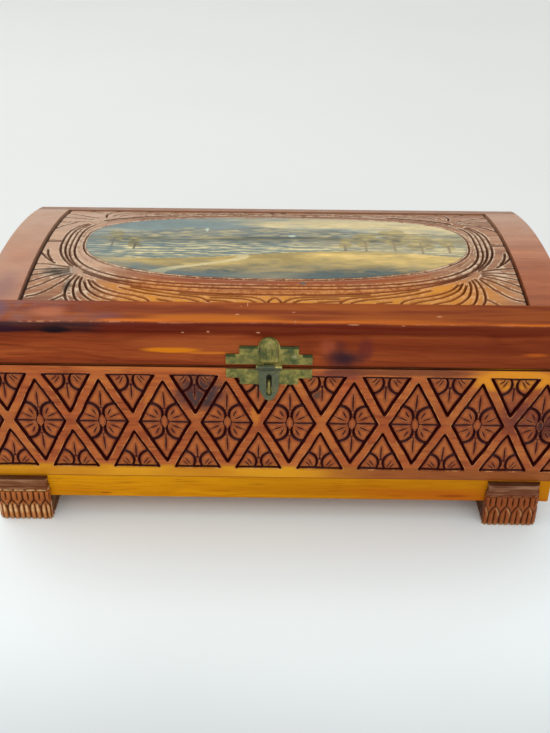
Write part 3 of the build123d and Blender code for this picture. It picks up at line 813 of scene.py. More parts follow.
def picture_colours(x, y):
    """A made-up lake view in worn oil colours: sky, far hills, water, woods and a meadow."""
    u = (x - picture_middle[0]) / picture_half[0]
    v = (y - picture_middle[1]) / picture_half[1]
    strokes = rough_noise(x * 0.35, y * 1.6, 9, 1)
    fine = rough_noise(x * 0.6, y * 2.2, 3.2, 2, 3)
    cloud = rough_noise(x * 0.5, y * 1.3, 22, 3)
    # Sky, lit towards the right and dull at the top.
    colour = oils((98, 118, 118), (204, 184, 134), 0.42 + u * 0.62 + (cloud - 0.5) * 3.2 + (strokes - 0.5))
    colour = oils(colour, (84, 102, 102), np.clip(v * 1.5 - 0.7 - u * 0.4, 0, 1) * 0.7)

    def lay(mask, tint):
        return np.where(mask[:, None], tint, colour)

    hills = 0.30 + 0.05 * (value_noise(x, x * 0, 9, 4) - 0.5)
    for middle, wide, tall in picture_hills:
        hills = hills + tall * np.exp(-(((u - middle) / wide) ** 2))
    colour = lay(v < hills, oils((80, 96, 98), (168, 152, 104), fine * 1.7 - 0.55))
    shore = 0.12 + 0.07 * (rough_noise(x, x * 0, 13, 5) - 0.5) + 0.05 * np.sin(u * 5 + 1)
    colour = lay(v < shore, oils((48, 62, 56), (166, 144, 78), strokes * 2.2 - 0.8))
    water_top, water_low = 0.03 + 0.015 * np.sin(u * 9), -0.42 + 0.12 * np.sin(u * 3.1 + 0.4)
    glint = np.clip(np.sin(y * 2.3 + 9 * value_noise(x, y * 2, 16, 6)) * 0.3 + fine * 1.4 - 0.5, 0, 1)
    water = oils((88, 108, 108), (206, 188, 136), glint * 1.2)
    water = oils(water, (54, 70, 72), np.clip(0.9 - (water_top - v) * 5, 0, 0.7))
    colour = lay((v < water_top) & (v > water_low), water)
    meadow = oils((146, 124, 66), (212, 178, 100), strokes * 2.2 - 0.7)
    meadow = oils(meadow, (50, 66, 68), (-v - 0.62) * 3.0 + fine - 0.3)
    colour = lay(v < water_low, meadow)
    from_path = np.abs(u + 0.25 - 0.5 * (v + 0.42) - 0.12 * np.sin(v * 9))
    path = from_path < 0.03 + 0.05 * np.clip(-v - 0.42, 0, 1)
    colour = lay(path & (v < water_low), oils(meadow, (202, 186, 138), 0.7))
    random = np.random.default_rng(RANDOM_SEED + 40)
    ragged = 0.5 * (fine - 0.5) + 0.35 * (value_noise(x, y, 1.8, 7) - 0.5)
    for tree_u, tree_v, wide, tall in picture_trees:
        for _ in range(leaves_per_tree):
            leaf_u = tree_u + wide * 0.8 * (random.random() - 0.5)
            leaf_v = tree_v + tall * (random.random() - 0.35)
            dab = ((u - leaf_u) / (wide * 0.42)) ** 2 + ((v - leaf_v) / (tall * 0.3)) ** 2 + ragged < 0.6
            lit = 0.35 + (v - leaf_v) * 2.2 - (u - leaf_u) * 2 + fine - 0.5
            colour = lay(dab, oils(colour, oils((42, 54, 48), (184, 162, 88), lit), 0.85))
        trunk = (np.abs(u - tree_u) < 0.006) & (v < tree_v) & (v > tree_v - tall * 0.9)
        colour = lay(trunk, srgb((74, 64, 52))[:3])
    edge = np.abs(u) ** picture_squareness + np.abs(v) ** picture_squareness
    colour = oils(colour, (90, 110, 114), np.clip(edge * 1.9 - 1.15, 0, 0.5) * np.clip(0.7 - u, 0, 1))
    colour = oils(colour, (196, 170, 112), np.clip(u * 0.4 - 0.02 + (cloud - 0.5), 0, 0.35))
    colour = colour * (1.0 + 0.56 * fine)[:, None]
    return np.column_stack((colour, np.ones(len(x))))


def add_picture(material):
    """The print: a thin oval bent over the dome, with its painting as colours at its points."""
    outline = resampled(picture_oval(-print_inset), panel_step)

    def inside(x, y):
        return inside_picture(x, y, -print_inset - 0.015)

    sheets, triangles, loops = [], [], []
    for spacing, drop in ((print_spacing, 0.0), (print_under_spacing, picture_thickness)):
        flat, faces = net([outline], (), picture_low[:2], picture_high[:2], spacing, inside)
        sheets.append(on_dome(*flat.T, drop))
        triangles.append(faces)
        loops.append(rim(faces))
    # The lower rim's numbers begin where the upper's do.
    upper, lower = loops
    count = len(sheets[0])
    start = np.hypot(*(sheets[1][lower] - sheets[0][upper[0]])[:, :2].T).argmin()
    lower = [count + number for number in lower[start:] + lower[:start]]
    faces = triangles[0].tolist() + (triangles[1][:, ::-1] + count).tolist()
    faces += bridge(upper, lower, closed=True)
    points = np.concatenate(sheets)
    carried = {"paint": picture_colours(points[:, 0], points[:, 1])}
    add_piece("oval_picture", points, faces, "picture_print", material, panel_crease, carried)


# Feet: reeds, a row of dashes, lobes with a slit, and leaf tips that run down as flutes.
foot_corner = 2.2
foot_outer_corner = 4.2
foot_tuck = 0.7
foot_pitch = 5.67
foot_spacing = 0.66
foot_border_step = 0.7
foot_groove_side = 0.42
foot_crease = 38
foot_shoulder, foot_shoulder_width = 0.35, 0.6
foot_deepest = 2.0
# Each reed: its lower and upper edge and how far it stands back.
foot_reeds = ((22.5, 25.2, 1.1), (20.5, 22.5, 0.55), (18.9, 20.5, 0.3))
dash_z = 18.55
leaf_tip_z = 12.7
leaf_tip_edge = ((0, leaf_tip_z), (1.25, 11.0), (2.2, 9.0), (2.7, 7.2))
board_under_z = box_mm("bottom_board")[0][2]


def foot_grooves(reach, phase):
    """The cuts of a foot's unrolled skin, out to reach on both sides of its middle."""
    levels = [(reed[0], 0.35) for reed in foot_reeds] + [(18.1, 0.45)]
    cuts = [([(-reach, z), (reach, z)], 0.2, deep) for z, deep in levels]
    count = int(reach / foot_pitch) + 1
    for k in range(-count, count + 1):
        tip = (k + phase) * foot_pitch
        lobe = tip + foot_pitch / 2
        cuts.append(([(tip, 18.0), (tip, leaf_tip_z + 0.2)], 0.4, 0.9))
        for side in (-1, 1):
            cuts.append((through([(tip + side * out, z) for out, z in leaf_tip_edge]), 0.44, 0.95))
        cuts += [
            ([(lobe, 8.6), (lobe, 0)], 0.5, 0.95),
            ([(tip, 9.6), (tip, 0)], 0.38, 0.8, (0.1, 1)),
            ([(lobe, 16.9), (lobe, 13.0)], 0.42, 0.8, (0.1, 0.1)),
        ]
    return [groove(*cut) for cut in cuts]


def foot_section_inset(z):
    """How far the outside stands back at a height, from its reeds."""
    inset = np.zeros_like(z)
    for low, high, back in foot_reeds:
        half = (high - low) / 2
        across = np.clip(np.abs(z - (low + high) / 2) / half, 0, 1)
        inset = np.where(z > low - 1e-6, back + 0.75 * half * (1 - np.sqrt(1 - across**2)), inset)
    return inset


def foot_wear_and_highlight(s, z, phase, slant):
    """Pale places, partly wear and partly painted highlight: the row of dashes, and the flanks of the leaf
    tips.
    """
    dash_place = (s / foot_pitch - phase + 0.21) % 1.0
    from_middle = np.minimum(dash_place, 1 - dash_place) * foot_pitch
    dash = np.clip((2.35 - from_middle) / 0.25, 0, 1) * np.clip((0.42 - np.abs(z - dash_z)) / 0.15, 0, 1)
    tip_place = ((s / foot_pitch - phase + 0.5) % 1.0 - 0.5) * foot_pitch
    if slant:
        edge = 0.15 + 2.15 * np.clip((leaf_tip_z - z) / 5.0, 0, 1) ** 0.8
        flank = np.clip(1.25 - np.abs(tip_place - edge) / 0.45, 0, 1) * np.clip((z - 5.0) / 2.5, 0, 1)
        return np.maximum(0.45 * dash, flank * np.clip((leaf_tip_z - 0.4 - z) / 0.8, 0, 1))
    flank = np.clip(1.2 - np.abs(np.abs(tip_place) - 1.25) / 0.6, 0, 1)
    flank = flank * np.clip((10.6 - z) / 1.6, 0, 1) * np.clip((z - 3.6) / 2.4, 0.25, 1)
    return np.maximum(dash, 0.85 * flank)


def add_foot(node, row, side, phase, material):
    """One foot: its skin is carved unrolled, s along the face and z up, then wrapped round."""
    low, high = box_mm(node)
    middle_x, half_width, top = (low[0] + high[0]) / 2, (high[0] - low[0]) / 2, high[2]
    face_y, inner_y = (low[1], high[1]) if row < 0 else (high[1], low[1])
    face_y, inner_y = abs(face_y), abs(inner_y)
    corners = np.array((foot_outer_corner, foot_corner) if side < 0 else (foot_corner, foot_outer_corner))
    straights = half_width - corners
    turns = corners * pi / 2
    reaches = straights + turns + face_y - inner_y - corners
    lips = straights + turns + face_y - abs(board_low[1]) - corners
    left, right = -reaches[0], reaches[1]
    lip_left, lip_right = -lips[0], lips[1]
    grooves = foot_grooves(reaches.max(), phase)
    grooves = [(np.clip(g[0], (left, 0), (right, top)), g[1], g[2]) for g in grooves]
    ledge_z = board_under_z
    border = [resampled(line, foot_border_step) for line in (
        [(left, 0), (right, 0)],
        [(left, 0), (left, ledge_z)],
        [(right, 0), (right, ledge_z)],
        [(left, ledge_z), (lip_left, ledge_z)],
        [(lip_right, ledge_z), (right, ledge_z)],
        [(lip_left, ledge_z), (lip_left, top)],
        [(lip_right, ledge_z), (lip_right, top)],
        [(lip_left, top), (lip_right, top)],
    )]

    def inside(s, z):
        return (z < ledge_z) | ((s > lip_left) & (s < lip_right))

    lines = [g[0] for g in grooves if np.hypot(*(g[0][0] - g[0][-1])) > 0.5] + border
    points, triangles = net(lines, (foot_groove_side,), (left, 0), (right, top), foot_spacing, inside)
    used, faces = np.unique(triangles, return_inverse=True)
    points, faces = points[used], faces.reshape(-1, 3).tolist()
    s, z = points.T
    edge, depth = grooves_at(points, grooves)
    depth = depth + foot_shoulder * np.exp(-np.clip(edge, 0, None) / foot_shoulder_width)
    depth = np.where(z > foot_reeds[-1][0] + 0.05, depth * 0.35, depth)
    inset = foot_section_inset(z) + depth * (1 + 0.2 * waves(s, z, 8, 21))
    inset = np.clip(inset, 0.0, foot_deepest)
    which = (s > 0).astype(int)
    corner, straight, along = corners[which], straights[which], np.abs(s)
    turn = np.clip((along - straight) / corner, 0, pi / 2)
    past = np.clip(along - straight - turns[which], 0, None)
    tuck = foot_tuck * np.clip(1 - z / (ledge_z / 2), 0, 1)
    x = np.sign(s) * (np.minimum(along, straight) + (corner - inset) * np.sin(turn))
    y = -face_y + corner * (1 - np.cos(turn)) + (inset + tuck) * np.cos(turn) + past
    solid = np.column_stack((middle_x + x, y, z))

    def close(mask, key):
        numbers = np.flatnonzero(mask)
        return numbers[np.argsort(key[numbers])].tolist()

    def near(values, target):
        return np.abs(values - target) < TOUCH

    above, ledge = z > ledge_z - TOUCH, near(z, ledge_z)
    faces += [
        close(near(z, 0), s),
        close(near(z, top), -s),
        close(near(s, right), z) + close(near(s, left), -z),
        close(near(s, lip_right) & above, z) + close(near(s, lip_left) & above, -z),
        close(ledge & (s > lip_right - TOUCH), -s) + close(ledge & (s < lip_left + TOUCH), -s),
    ]
    if row > 0:
        solid[:, 1] *= -1
    carried = {"cut": edge, "worn": foot_wear_and_highlight(s, z, phase, side > 0)}
    add_piece("carved_" + node, solid, faces, node, material, foot_crease, carried)


# Materials
def cedar(name, light, middle, dark, shift, figure=1.0, line=(96, 28, 8), grain="X"):
    """Varnished cedar: streaks, rings and fine fibres along one axis."""
    wood = Shader(name)

    def grained(across, along):
        return tuple(along if axis == grain else across for axis in "XYZ")

    def fibres(vector, across, along, detail, roughness):
        scaled = wood.stretched(vector, grained(across, along), shift)
        return wood.noise_at(scaled, 1.0, detail, roughness)

    bent = wood.warped(9.0, grained(0.011, 0.0))
    streak = fibres(bent, 130.0, 2.6, 6.0, 0.66)
    broad = fibres(bent, 22.0, 3.0, 2.0, 0.5)
    pore = fibres(wood.place, 900.0, 70.0, 1.0, 0.4)
    wood.fibre = fibres(bent, 1300.0, 26.0, 3.0, 0.6)
    ring = wood.math("PINGPONG", wood.math("MULTIPLY", broad, 15.0), 0.5)
    wood.ring = wood.between(ring, 0.34, 0.5)
    wood.colour = wood.ramp(streak, ((0.33, dark), (0.5, middle), (0.66, light)))
    wood.over(dark, (broad, 0.42, 0.68), 0.45)
    wood.over(line, wood.ring, 0.5 * figure)
    wood.over(line, (wood.fibre, 0.42, 0.72), 0.4)
    wood.over((60, 16, 6), (pore, 0.66, 0.78), 0.45)
    return wood


def finish_cedar(wood, rough=0.38, coat=0.1, coat_rough=0.2, specular=0.22):
    wear = wood.noise(90, 4, 0.6)
    height = wood.math("MULTIPLY_ADD", wood.ring, -0.35, wood.math("MULTIPLY", wood.fibre, 0.8))
    grain = wood.bump(height, 0.6, 0.00014)
    dents = wood.bump(wood.noise(55, 2, 0.5), 0.3, 0.0009, Normal=grain)
    return wood.finished(
        (wear, 0.3, 0.75, rough - 0.06, rough + 0.14), dents,
        Specular_IOR_Level=specular, Coat_Weight=coat, Coat_Roughness=coat_rough,
    )


def lattice_cedar():
    """Front board: red heartwood with sapwood places, V-cuts with painted shade in and beside them, and pale
    edges that are partly wear and partly painted highlight.
    """
    wood = cedar("front_cedar", (206, 120, 54), (184, 94, 42), (150, 68, 32), (0.31, 0.12, 0.4), 0.6)
    wobble = wood.noise(70, 4, 0.6)
    soft = wood.noise(90, 3, 0.5, (0.25, 1, 1))
    patch = wood.noise(34, 2, 0.5)
    rub = wood.noise(240, 3, 0.6)
    cut, cell = wood.carried("cut"), wood.carried("cell")
    strap = wood.math("SUBTRACT", 1.0, cell)
    wood.over((180, 100, 46), cell, 0.5)
    wood.over((208, 126, 56), strap, (patch, 0.5, 0.66), 0.35)
    wood.over((126, 62, 36), (wood.x, 20, 120), 0.3)
    # The strip under the pattern is sapwood at the left and heartwood at the right.
    under = wood.between(wood.z, 33.8, 31.4)
    leftness = wood.between(wood.shifted(wood.x, soft, 50), 85, 30)
    sap = wood.mix((soft, 0.35, 0.65), (214, 146, 18), (196, 124, 14))
    wood.over((128, 70, 26), under, 0.6)
    wood.over(sap, under, leftness)
    wood.stained(soft, [((113, -76, 84), (24, 30, 8), (224, 142, 28), 0.9, 0.5)])
    wood.stained(wobble, (
        ((-35.5, -76, 74.8), (16, 30, 13), (58, 46, 48), 0.95, 0.5),
        ((-30, -76, 69), (5, 30, 3.6), (64, 42, 38), 0.8, 0.3),
        ((20.5, -76, 75), (6, 30, 5), (66, 54, 46), 0.85, 0.3),
        ((33, -76, 87), (14, 30, 4), (96, 44, 50), 0.7, 0.3),
        ((34, -76, 76), (8, 30, 7), (176, 84, 52), 0.4, 0.3),
        ((117, -76, 63), (13, 30, 14), (92, 40, 38), 0.75, 0.2),
        ((131, -76, 60), (7, 30, 6), (46, 30, 34), 0.9, 0.3),
        ((134, -76, 56), (9, 30, 6), (50, 26, 26), 0.85, 0.4),
        ((62, -76, 87.6), (44, 30, 2.6), (112, 56, 34), 0.8, 0.5),
        ((-8, -76, 63), (3, 30, 8), (214, 128, 40), 0.6, 0.3),
        ((-58, -76, 70), (5, 30, 5), (206, 118, 44), 0.6, 0.3),
    ))
    # Painted shade on the wood beside the cuts, stronger in the cells.
    wood.over((104, 38, 20), (cut, 1.3, 0.0), wood.math("MULTIPLY_ADD", cell, 0.45, 0.25))
    # Pale places beside the cuts, on the straps and then in the cells: partly wear, partly painted
    # highlight.
    wood.over((226, 158, 96), wood.band(cut, 0.0, 0.14, 0.2, 0.5), strap, (rub, 0.44, 0.66), 0.7)
    wood.over((208, 132, 70), wood.band(cut, 0.02, 0.16, 0.25, 0.5), cell, (rub, 0.4, 0.62), 0.4)
    # Painted shade deep in the cuts.
    wood.over((52, 6, 4), (cut, 0.12, -0.12))
    # Painted shade along the board's rounded top edge, under the lid.
    wood.over((44, 14, 6), (wood.z, 88.9, 89.3), (wood.y, -74.8, -75.6))
    wood.over((96, 44, 12), (wood.z, 26.2, 25.7), 0.75)
    return finish_cedar(wood, 0.44, 0.04, 0.2, 0.14)


def panel_cedar():
    """Lid panel: brown cedar, orange towards the front edge, with painted shade in and beside the cuts, and
    pale edges that are partly wear and partly painted highlight.
    """
    wood = cedar("panel_cedar", (196, 148, 112), (172, 122, 88), (142, 96, 68), (0.2, 0.8, 0.1), 0.3)
    underside = wood.colour
    wobble = wood.noise(60, 4, 0.6)
    soft = wood.noise(50, 3, 0.5, (0.4, 1, 1))
    rub = wood.noise(330, 3, 0.65)
    cut, outside = wood.carried("cut"), wood.carried("outside")
    across = wood.shifted(wood.y, soft, 20)
    middle = wood.band(wood.shifted(wood.x, soft, 30), -82, -50, 100, 134)
    frontness = wood.all_of((across, -14, -36), middle)
    warm = wood.mix((soft, 0.35, 0.65), (178, 98, 24), (150, 72, 20))
    wood.over(warm, frontness, 0.9)
    wood.over((226, 152, 42), (outside, 13.4, 14.6), frontness, 0.6)
    # The rings at the left are paler, and the first band in front is red.
    wood.over((214, 178, 152), (wood.x, -70, -95), (across, -34, -14), 0.5)
    wood.over((140, 62, 34), wood.band(outside, 0.6, 1.2, 4.8, 6.0), frontness, 0.8)
    shade = wood.mix(frontness, (104, 62, 40), (130, 58, 18))
    pale = wood.mix(frontness, (230, 204, 174), (220, 154, 88))
    dark = wood.mix(frontness, (98, 66, 48), (122, 56, 20))
    # Painted shade on the flanks beside the cuts and deep in them; the pale bands at the cut edges are
    # partly wear and partly painted highlight.
    wood.over(shade, (cut, 1.1, 0.1), 0.5)
    wood.over(pale, wood.band(cut, -0.1, 0.1, 0.45, 0.85), (rub, 0.36, 0.62, 0.1, 0.75))
    wood.over(dark, (cut, 0.0, -0.4), 0.75)
    wood.stained(wobble, (
        ((-108, -31, 113), (11, 7, 30), (44, 48, 42), 0.8, 0.1),
        ((-100, -44, 112), (3, 8, 30), (52, 42, 38), 0.7, 0.3),
        ((-101, -30, 112), (6, 6, 30), (150, 138, 124), 0.4, 0.3),
        ((14.2, -39.6, 113), (2.0, 1.3, 30), (92, 94, 84), 0.9, 0.6),
    ))
    # Painted shade in the gaps between the panel and the lid ends.
    gap = wood.math("MAXIMUM", wood.between(wood.x, -118.8, -119.2), wood.between(wood.x, 119.2, 119.6))
    wood.over((66, 44, 34), gap)
    wood.over(underside, (wood.z, panel_low[2] + 1.2, panel_low[2] + 0.4))
    return finish_cedar(wood, 0.44, 0.08, 0.25, 0.16)


def foot_cedar():
    """Feet: worn brown cedar, with painted shade in the cuts and grey on the reeds that is partly painted
    highlight.
    """
    wood = cedar("foot_cedar", (220, 144, 70), (190, 110, 46), (146, 76, 28), (0.6, 0.1, 0.5), 0.3)
    rub = wood.noise(420, 3, 0.65)
    brushed = wood.noise(500, 3, 0.5, (0.15, 1, 1))
    cut = wood.carried("cut")
    side = wood.between(wood.x, -50, 50)
    wood.over((132, 60, 20), side, 0.8)
    # Grey on the reeds: partly wear, partly painted highlight.
    grey = wood.mix((brushed, 0.42, 0.62), (88, 50, 30), (144, 108, 80))
    wood.over(grey, (wood.z, 18.8, 19.4), 0.8)
    # Painted shade beside the cuts and in them.
    wood.over((112, 56, 28), (cut, 0.8, 0.0), 0.5)
    wood.over((88, 46, 20), (cut, 0.1, -0.28), 0.82)
    # Pale places on the dashes and leaf-tip flanks: partly wear, partly painted highlight.
    pale = wood.mix(side, (240, 202, 146), (198, 140, 96))
    wood.over(pale, wood.carried("worn"), (rub, 0.3, 0.6, 0.35, 1.0))
    # Painted shade on the foot's top, under the body.
    wood.over((70, 34, 16), (wood.z, 24.7, 25.1), 0.85)
    # Painted shade on the front feet's sides that face each other.
    inner = wood.math("MAXIMUM", wood.between(wood.x, -113.2, -112.4), wood.between(wood.x, 108.6, 107.8))
    within = wood.math("LESS_THAN", wood.math("ABSOLUTE", wood.x), 113.2)
    deep = wood.between(wood.math("ABSOLUTE", wood.y), 77.8, 76.2)
    wood.over((44, 22, 10), inner, within, deep, 0.7)
    wood.over((166, 140, 112), (wood.z, 1.6, 0.2), (rub, 0.3, 0.55, 0.2, 0.8))
    return finish_cedar(wood, 0.44, 0.05, 0.22, 0.14)


def painted_print():
    """Picture: oil colours under old varnish, with canvas-like strokes and small chips."""
    shader = Shader("painted_print")
    stroke = shader.noise(420, 4, 0.6, (0.35, 1.5, 1))
    grime = shader.noise(60, 4, 0.6)
    wobble = shader.noise(500, 3, 0.6)
    shader.colour = shader.carried("paint", "Color")
    shader.over((132, 118, 76), (stroke, 0.3, 0.8), 0.3)
    shader.over((78, 92, 90), (grime, 0.45, 0.8), 0.2)
    for centre, radii in (((-37, 22.5, 118), (1.1, 4.2, 30)), ((9, 13.4, 119), (2.6, 2.0, 30))):
        shader.over((186, 198, 178), shader.spot(centre, radii, wobble, 0.4))
    return shader.finished(
        (grime, 0.3, 0.7, 0.4, 0.55), shader.bump(stroke, 0.35, 0.0003),
        Specular_IOR_Level=0.3, Coat_Weight=0.1, Coat_Roughness=0.3,
    )


def tarnished_brass(name="tarnished_brass", grey=0.0):
    """Old pressed brass: olive and yellow with green places, darker near the turned edges."""
    shader = Shader(name)
    patch = shader.noise(170, 5, 0.62, distortion=0.4)
    fine = shader.noise(900, 3, 0.6)
    wobble = shader.noise(500, 3, 0.6)
    stops = ((0.34, (76, 88, 48)), (0.47, (116, 112, 58)), (0.6, (156, 144, 74)), (0.74, (190, 174, 112)))
    shader.colour = shader.ramp(patch, stops)
    shader.over((80, 90, 78), grey)
    shader.over((70, 72, 40), (fine, 0.5, 0.8), 0.4)
    # A green band along the upper edge of the hasp plate's two steps, beside its boss.
    along = shader.math("ABSOLUTE", shader.math("ADD", shader.x, 1.5))
    step_z = shader.math("MULTIPLY_ADD", shader.math("LESS_THAN", along, 15.65), 4.4, 96.9)
    under_step = shader.between(shader.math("SUBTRACT", step_z, shader.z), 1.7, 1.3)
    beside_boss = shader.math("GREATER_THAN", along, 5.2)
    on_hasp_plate = shader.math("GREATER_THAN", shader.z, 94)
    shader.over((44, 60, 26), under_step, beside_boss, on_hasp_plate, 0.85)
    # Among these marks: the near-black spot behind the tongue's slot is painted shade seen through it, the
    # darker flanks beside the boss's ridge are painted shade, and the near-white spots on the right knuckle
    # and beside it are painted highlights.
    shader.stained(wobble, (
        ((-3.5, -79, 90.4), (9.5, 4, 2.0), (64, 70, 52), 0.9, 0.7),
        ((-5.6, -79, 99), (1.6, 6, 5), (96, 88, 58), 0.7, 0.3),
        ((-1.5, -81, 101.5), (4, 6, 5), (100, 96, 56), 0.45, 0.3),
        ((2.4, -79, 98), (1.4, 6, 5), (100, 90, 58), 0.7, 0.3),
        ((7.2, -79.5, 90.2), (1.5, 4, 1.3), (196, 198, 150), 0.7, 0.4),
        ((-1.5, -76.9, 82.5), (2.4, 0.7, 5.4), (14, 18, 12), 0.95, 0.6),
        ((10.5, -79, 95.6), (2.0, 4, 1.6), (196, 192, 160), 0.6, 0.2),
        ((13.5, -79, 85.0), (3.6, 4, 1.5), (176, 162, 66), 0.7, 0.2),
        ((-18, -79, 86.4), (3.0, 4, 1.2), (172, 164, 78), 0.7, 0.2),
        ((-11, -79, 83.2), (4.0, 4, 1.0), (168, 164, 84), 0.7, 0.2),
    ))
    normal = shader.bump(fine, 0.3, 0.00015, Normal=shader.bump(patch, 0.4, 0.0005))
    return shader.finished((patch, 0.3, 0.7, 0.5, 0.32), normal, Metallic=0.6)


def dull_steel():
    shader = Shader("dull_steel")
    brushed = shader.noise(400, 3, 0.6, (1.0, 8.0, 8.0))
    rust = shader.between(shader.noise(260, 4, 0.65), 0.5, 0.72, 0.0, 0.7)
    shader.colour = shader.mix(rust, (150, 146, 138), (104, 66, 40))
    roughness = shader.between(brushed, 0.3, 0.7, 0.32, 0.55)
    return shader.finished(roughness, shader.bump(brushed, 0.25, 0.0001), Metallic=0.85)


def sapwood():
    """Bottom board: yellow sapwood, redder and darker to the right."""
    tints = (222, 154, 8), (206, 132, 2), (184, 108, 2)
    wood = cedar("bottom_cedar", *tints, (0.7, 0.2, 0.1), 0.25, (150, 74, 4))
    streak = wood.noise(1, 3, 0.5, (3.0, 60.0, 60.0))
    wobble = wood.noise(60, 4, 0.6)
    wood.over((158, 92, 2), (wood.x, -70, 30), 0.4)
    wood.over((176, 82, 14), (streak, 0.54, 0.66), (wood.x, -50, 120, 0.1, 0.8))
    wood.stained(wobble, (
        ((122, -76, 19), (12, 30, 8), (150, 70, 24), 0.8, 0.3),
        ((92, -76, 15.4), (12, 30, 1.2), (130, 56, 10), 0.7, 0.3),
        ((-84, -76, 14.8), (4, 30, 0.8), (140, 70, 10), 0.7, 0.3),
    ))
    return finish_cedar(wood, 0.42, 0.0, 0.2, 0.05)


# Small scratches and chips in the lid's varnish, as centre and radii.
lid_scratches = (
    ((-12, -58.8, 109.5), (0.4, 2.2, 30)), ((-15.2, -60, 109.5), (0.9, 0.4, 30)),
    ((-16.6, -66, 109.5), (1.2, 0.6, 30)), ((-31, -57.6, 109.5), (3.2, 0.5, 30)),
    ((9.6, -64, 109.5), (1.4, 0.5, 30)), ((10.4, -70.5, 109.5), (0.9, 0.4, 30)),
    ((77.2, -66, 109.5), (1.5, 0.6, 30)), ((-41.2, -76, 107.7), (1.0, 8, 0.5)),
    ((-29.5, -76, 108.2), (0.8, 8, 0.5)), ((-6.6, -76, 108.0), (1.2, 8, 0.4)),
    ((37.5, -72.2, 109.4), (3.6, 0.5, 8)), ((60, -72.6, 109.4), (1.2, 0.4, 8)),
)


def lid_cedar():
    """Lid rails: red heartwood with a painted dark reflection on the rounded arris, a knot and yellow
    streaks in front.
    """
    tints = (176, 88, 40), (150, 66, 28), (118, 44, 18)
    wood = cedar("lid_cedar", *tints, (0.05, 0.33, 0.9), 0.6, (92, 30, 10))
    wobble = wood.noise(70, 4, 0.6)
    fine_wobble = wood.noise(300, 3, 0.6)
    soft = wood.noise(110, 3, 0.5, (0.2, 1, 1))
    streak = wood.noise(1, 4, 0.6, (14.0, 260.0, 260.0))
    top = wood.between(wood.z, 108.8, 109.4)
    brown = wood.mix((streak, 0.4, 0.62), (118, 52, 26), (164, 88, 34))
    wood.over(brown, top, 0.6)
    wood.over((104, 40, 16), (wood.x, 20, 100), 0.3)
    # The top is paler and purple-grey towards the left: a painted sheen.
    left_sheen = wood.between(wood.x, -60, -120, 0.0, 0.55)
    wood.over((126, 96, 98), top, left_sheen, (wobble, 0.36, 0.6, 0.2, 1.0))
    wood.stained(soft, (
        ((-28, -69, 109.5), (46, 3.6, 30), (190, 104, 30), 0.75, 0.3),
        ((52, -70, 109.5), (52, 2.6, 30), (178, 92, 32), 0.6, 0.3),
        # These three patches on the left of the top are painted sheen.
        ((-104, -66, 109.5), (11, 5, 30), (190, 112, 80), 0.6, 0.2),
        ((-78, -68, 109.5), (12, 5, 30), (122, 72, 70), 0.6, 0.2),
        ((-132, -66, 109.5), (10, 12, 30), (104, 78, 96), 0.6, 0.2),
    ))
    # A painted dark reflection lies on the arris from a little way onto the top to where the face begins;
    # towards the left it is blacker, where the wood has a dark streak.
    centred = wood.math("SUBTRACT", soft, 0.5)
    ragged, lower = wood.shifted(wood.y, centred, 3.2), wood.shifted(wood.z, centred, 5)
    arris_reflection_and_streak = wood.mix((wood.x, -74, -86), (88, 18, 0), (46, 8, 12))
    strength = wood.between(streak, 0.36, 0.62, 0.98, 0.8)
    wood.over(arris_reflection_and_streak, (ragged, -71.2, -73.4), (lower, 105.4, 108.4), strength)
    wood.stained(wobble, (
        ((26, -76, 101), (6, 30, 6), (170, 84, 58), 0.4, 0.3),
        ((31.5, -76, 102), (5, 30, 4), (96, 40, 34), 0.6, 0.2),
        ((43, -76, 99), (5, 30, 8), (96, 34, 36), 0.6, 0.3),
        ((33.5, -76, 95.2), (12.5, 30, 7.4), (44, 26, 36), 0.92, 0.1),
        ((-99, -76, 108.2), (9, 30, 2.0), (22, 8, 14), 0.95, 0.4),
        ((-128, -76, 108.4), (16, 5, 2.2), (46, 16, 30), 0.85, 0.4),
    ))
    wood.stained(soft, (
        ((-28, -76, 101.5), (66, 30, 4.6), (184, 98, 48), 0.45, 0.2),
        ((-48, -76, 98.2), (16, 30, 1.9), (216, 124, 16), 0.9, 0.5),
        ((-30, -76, 97.0), (15, 30, 0.9), (204, 112, 36), 0.8, 0.4),
        ((122, -76, 97.8), (9, 30, 1.6), (186, 90, 24), 0.75, 0.3),
    ))
    # An orange fringe runs behind the arris, and its edge is pale: both partly wear and partly painted
    # highlight.
    fringe = wood.band(ragged, -72.2, -71.2, -70.6, -69.2)
    right = wood.between(wood.x, -84, -74)
    wood.over((208, 108, 30), fringe, top, right, (streak, 0.4, 0.6, 0.25, 0.85))
    worn = wood.band(ragged, -72.6, -72.0, -71.8, -71.2)
    chips = wood.between(fine_wobble, 0.46, 0.64, 0.0, 0.6)
    wood.over((204, 140, 106), worn, top, chips, (wood.x, -20, -90, 0.3, 1.0))
    wood.stained(fine_wobble, [(*scratch, (204, 144, 106), 0.7, 0.3) for scratch in lid_scratches])
    # A painted sheen pales the back rail's top, and painted shade darkens the outer edges underneath.
    back_sheen = wood.between(wood.y, 50, 60, 0.0, 0.7)
    wood.over((158, 124, 100), back_sheen, (wood.z, 100, 108, 0.15, 1.0))
    outer = wood.between(wood.math("ABSOLUTE", wood.y), 74.8, 75.6)
    wood.over((40, 10, 4), (wood.z, 90.9, 90.5), outer)
    return finish_cedar(wood, 0.4, 0.03, 0.22, 0.06)


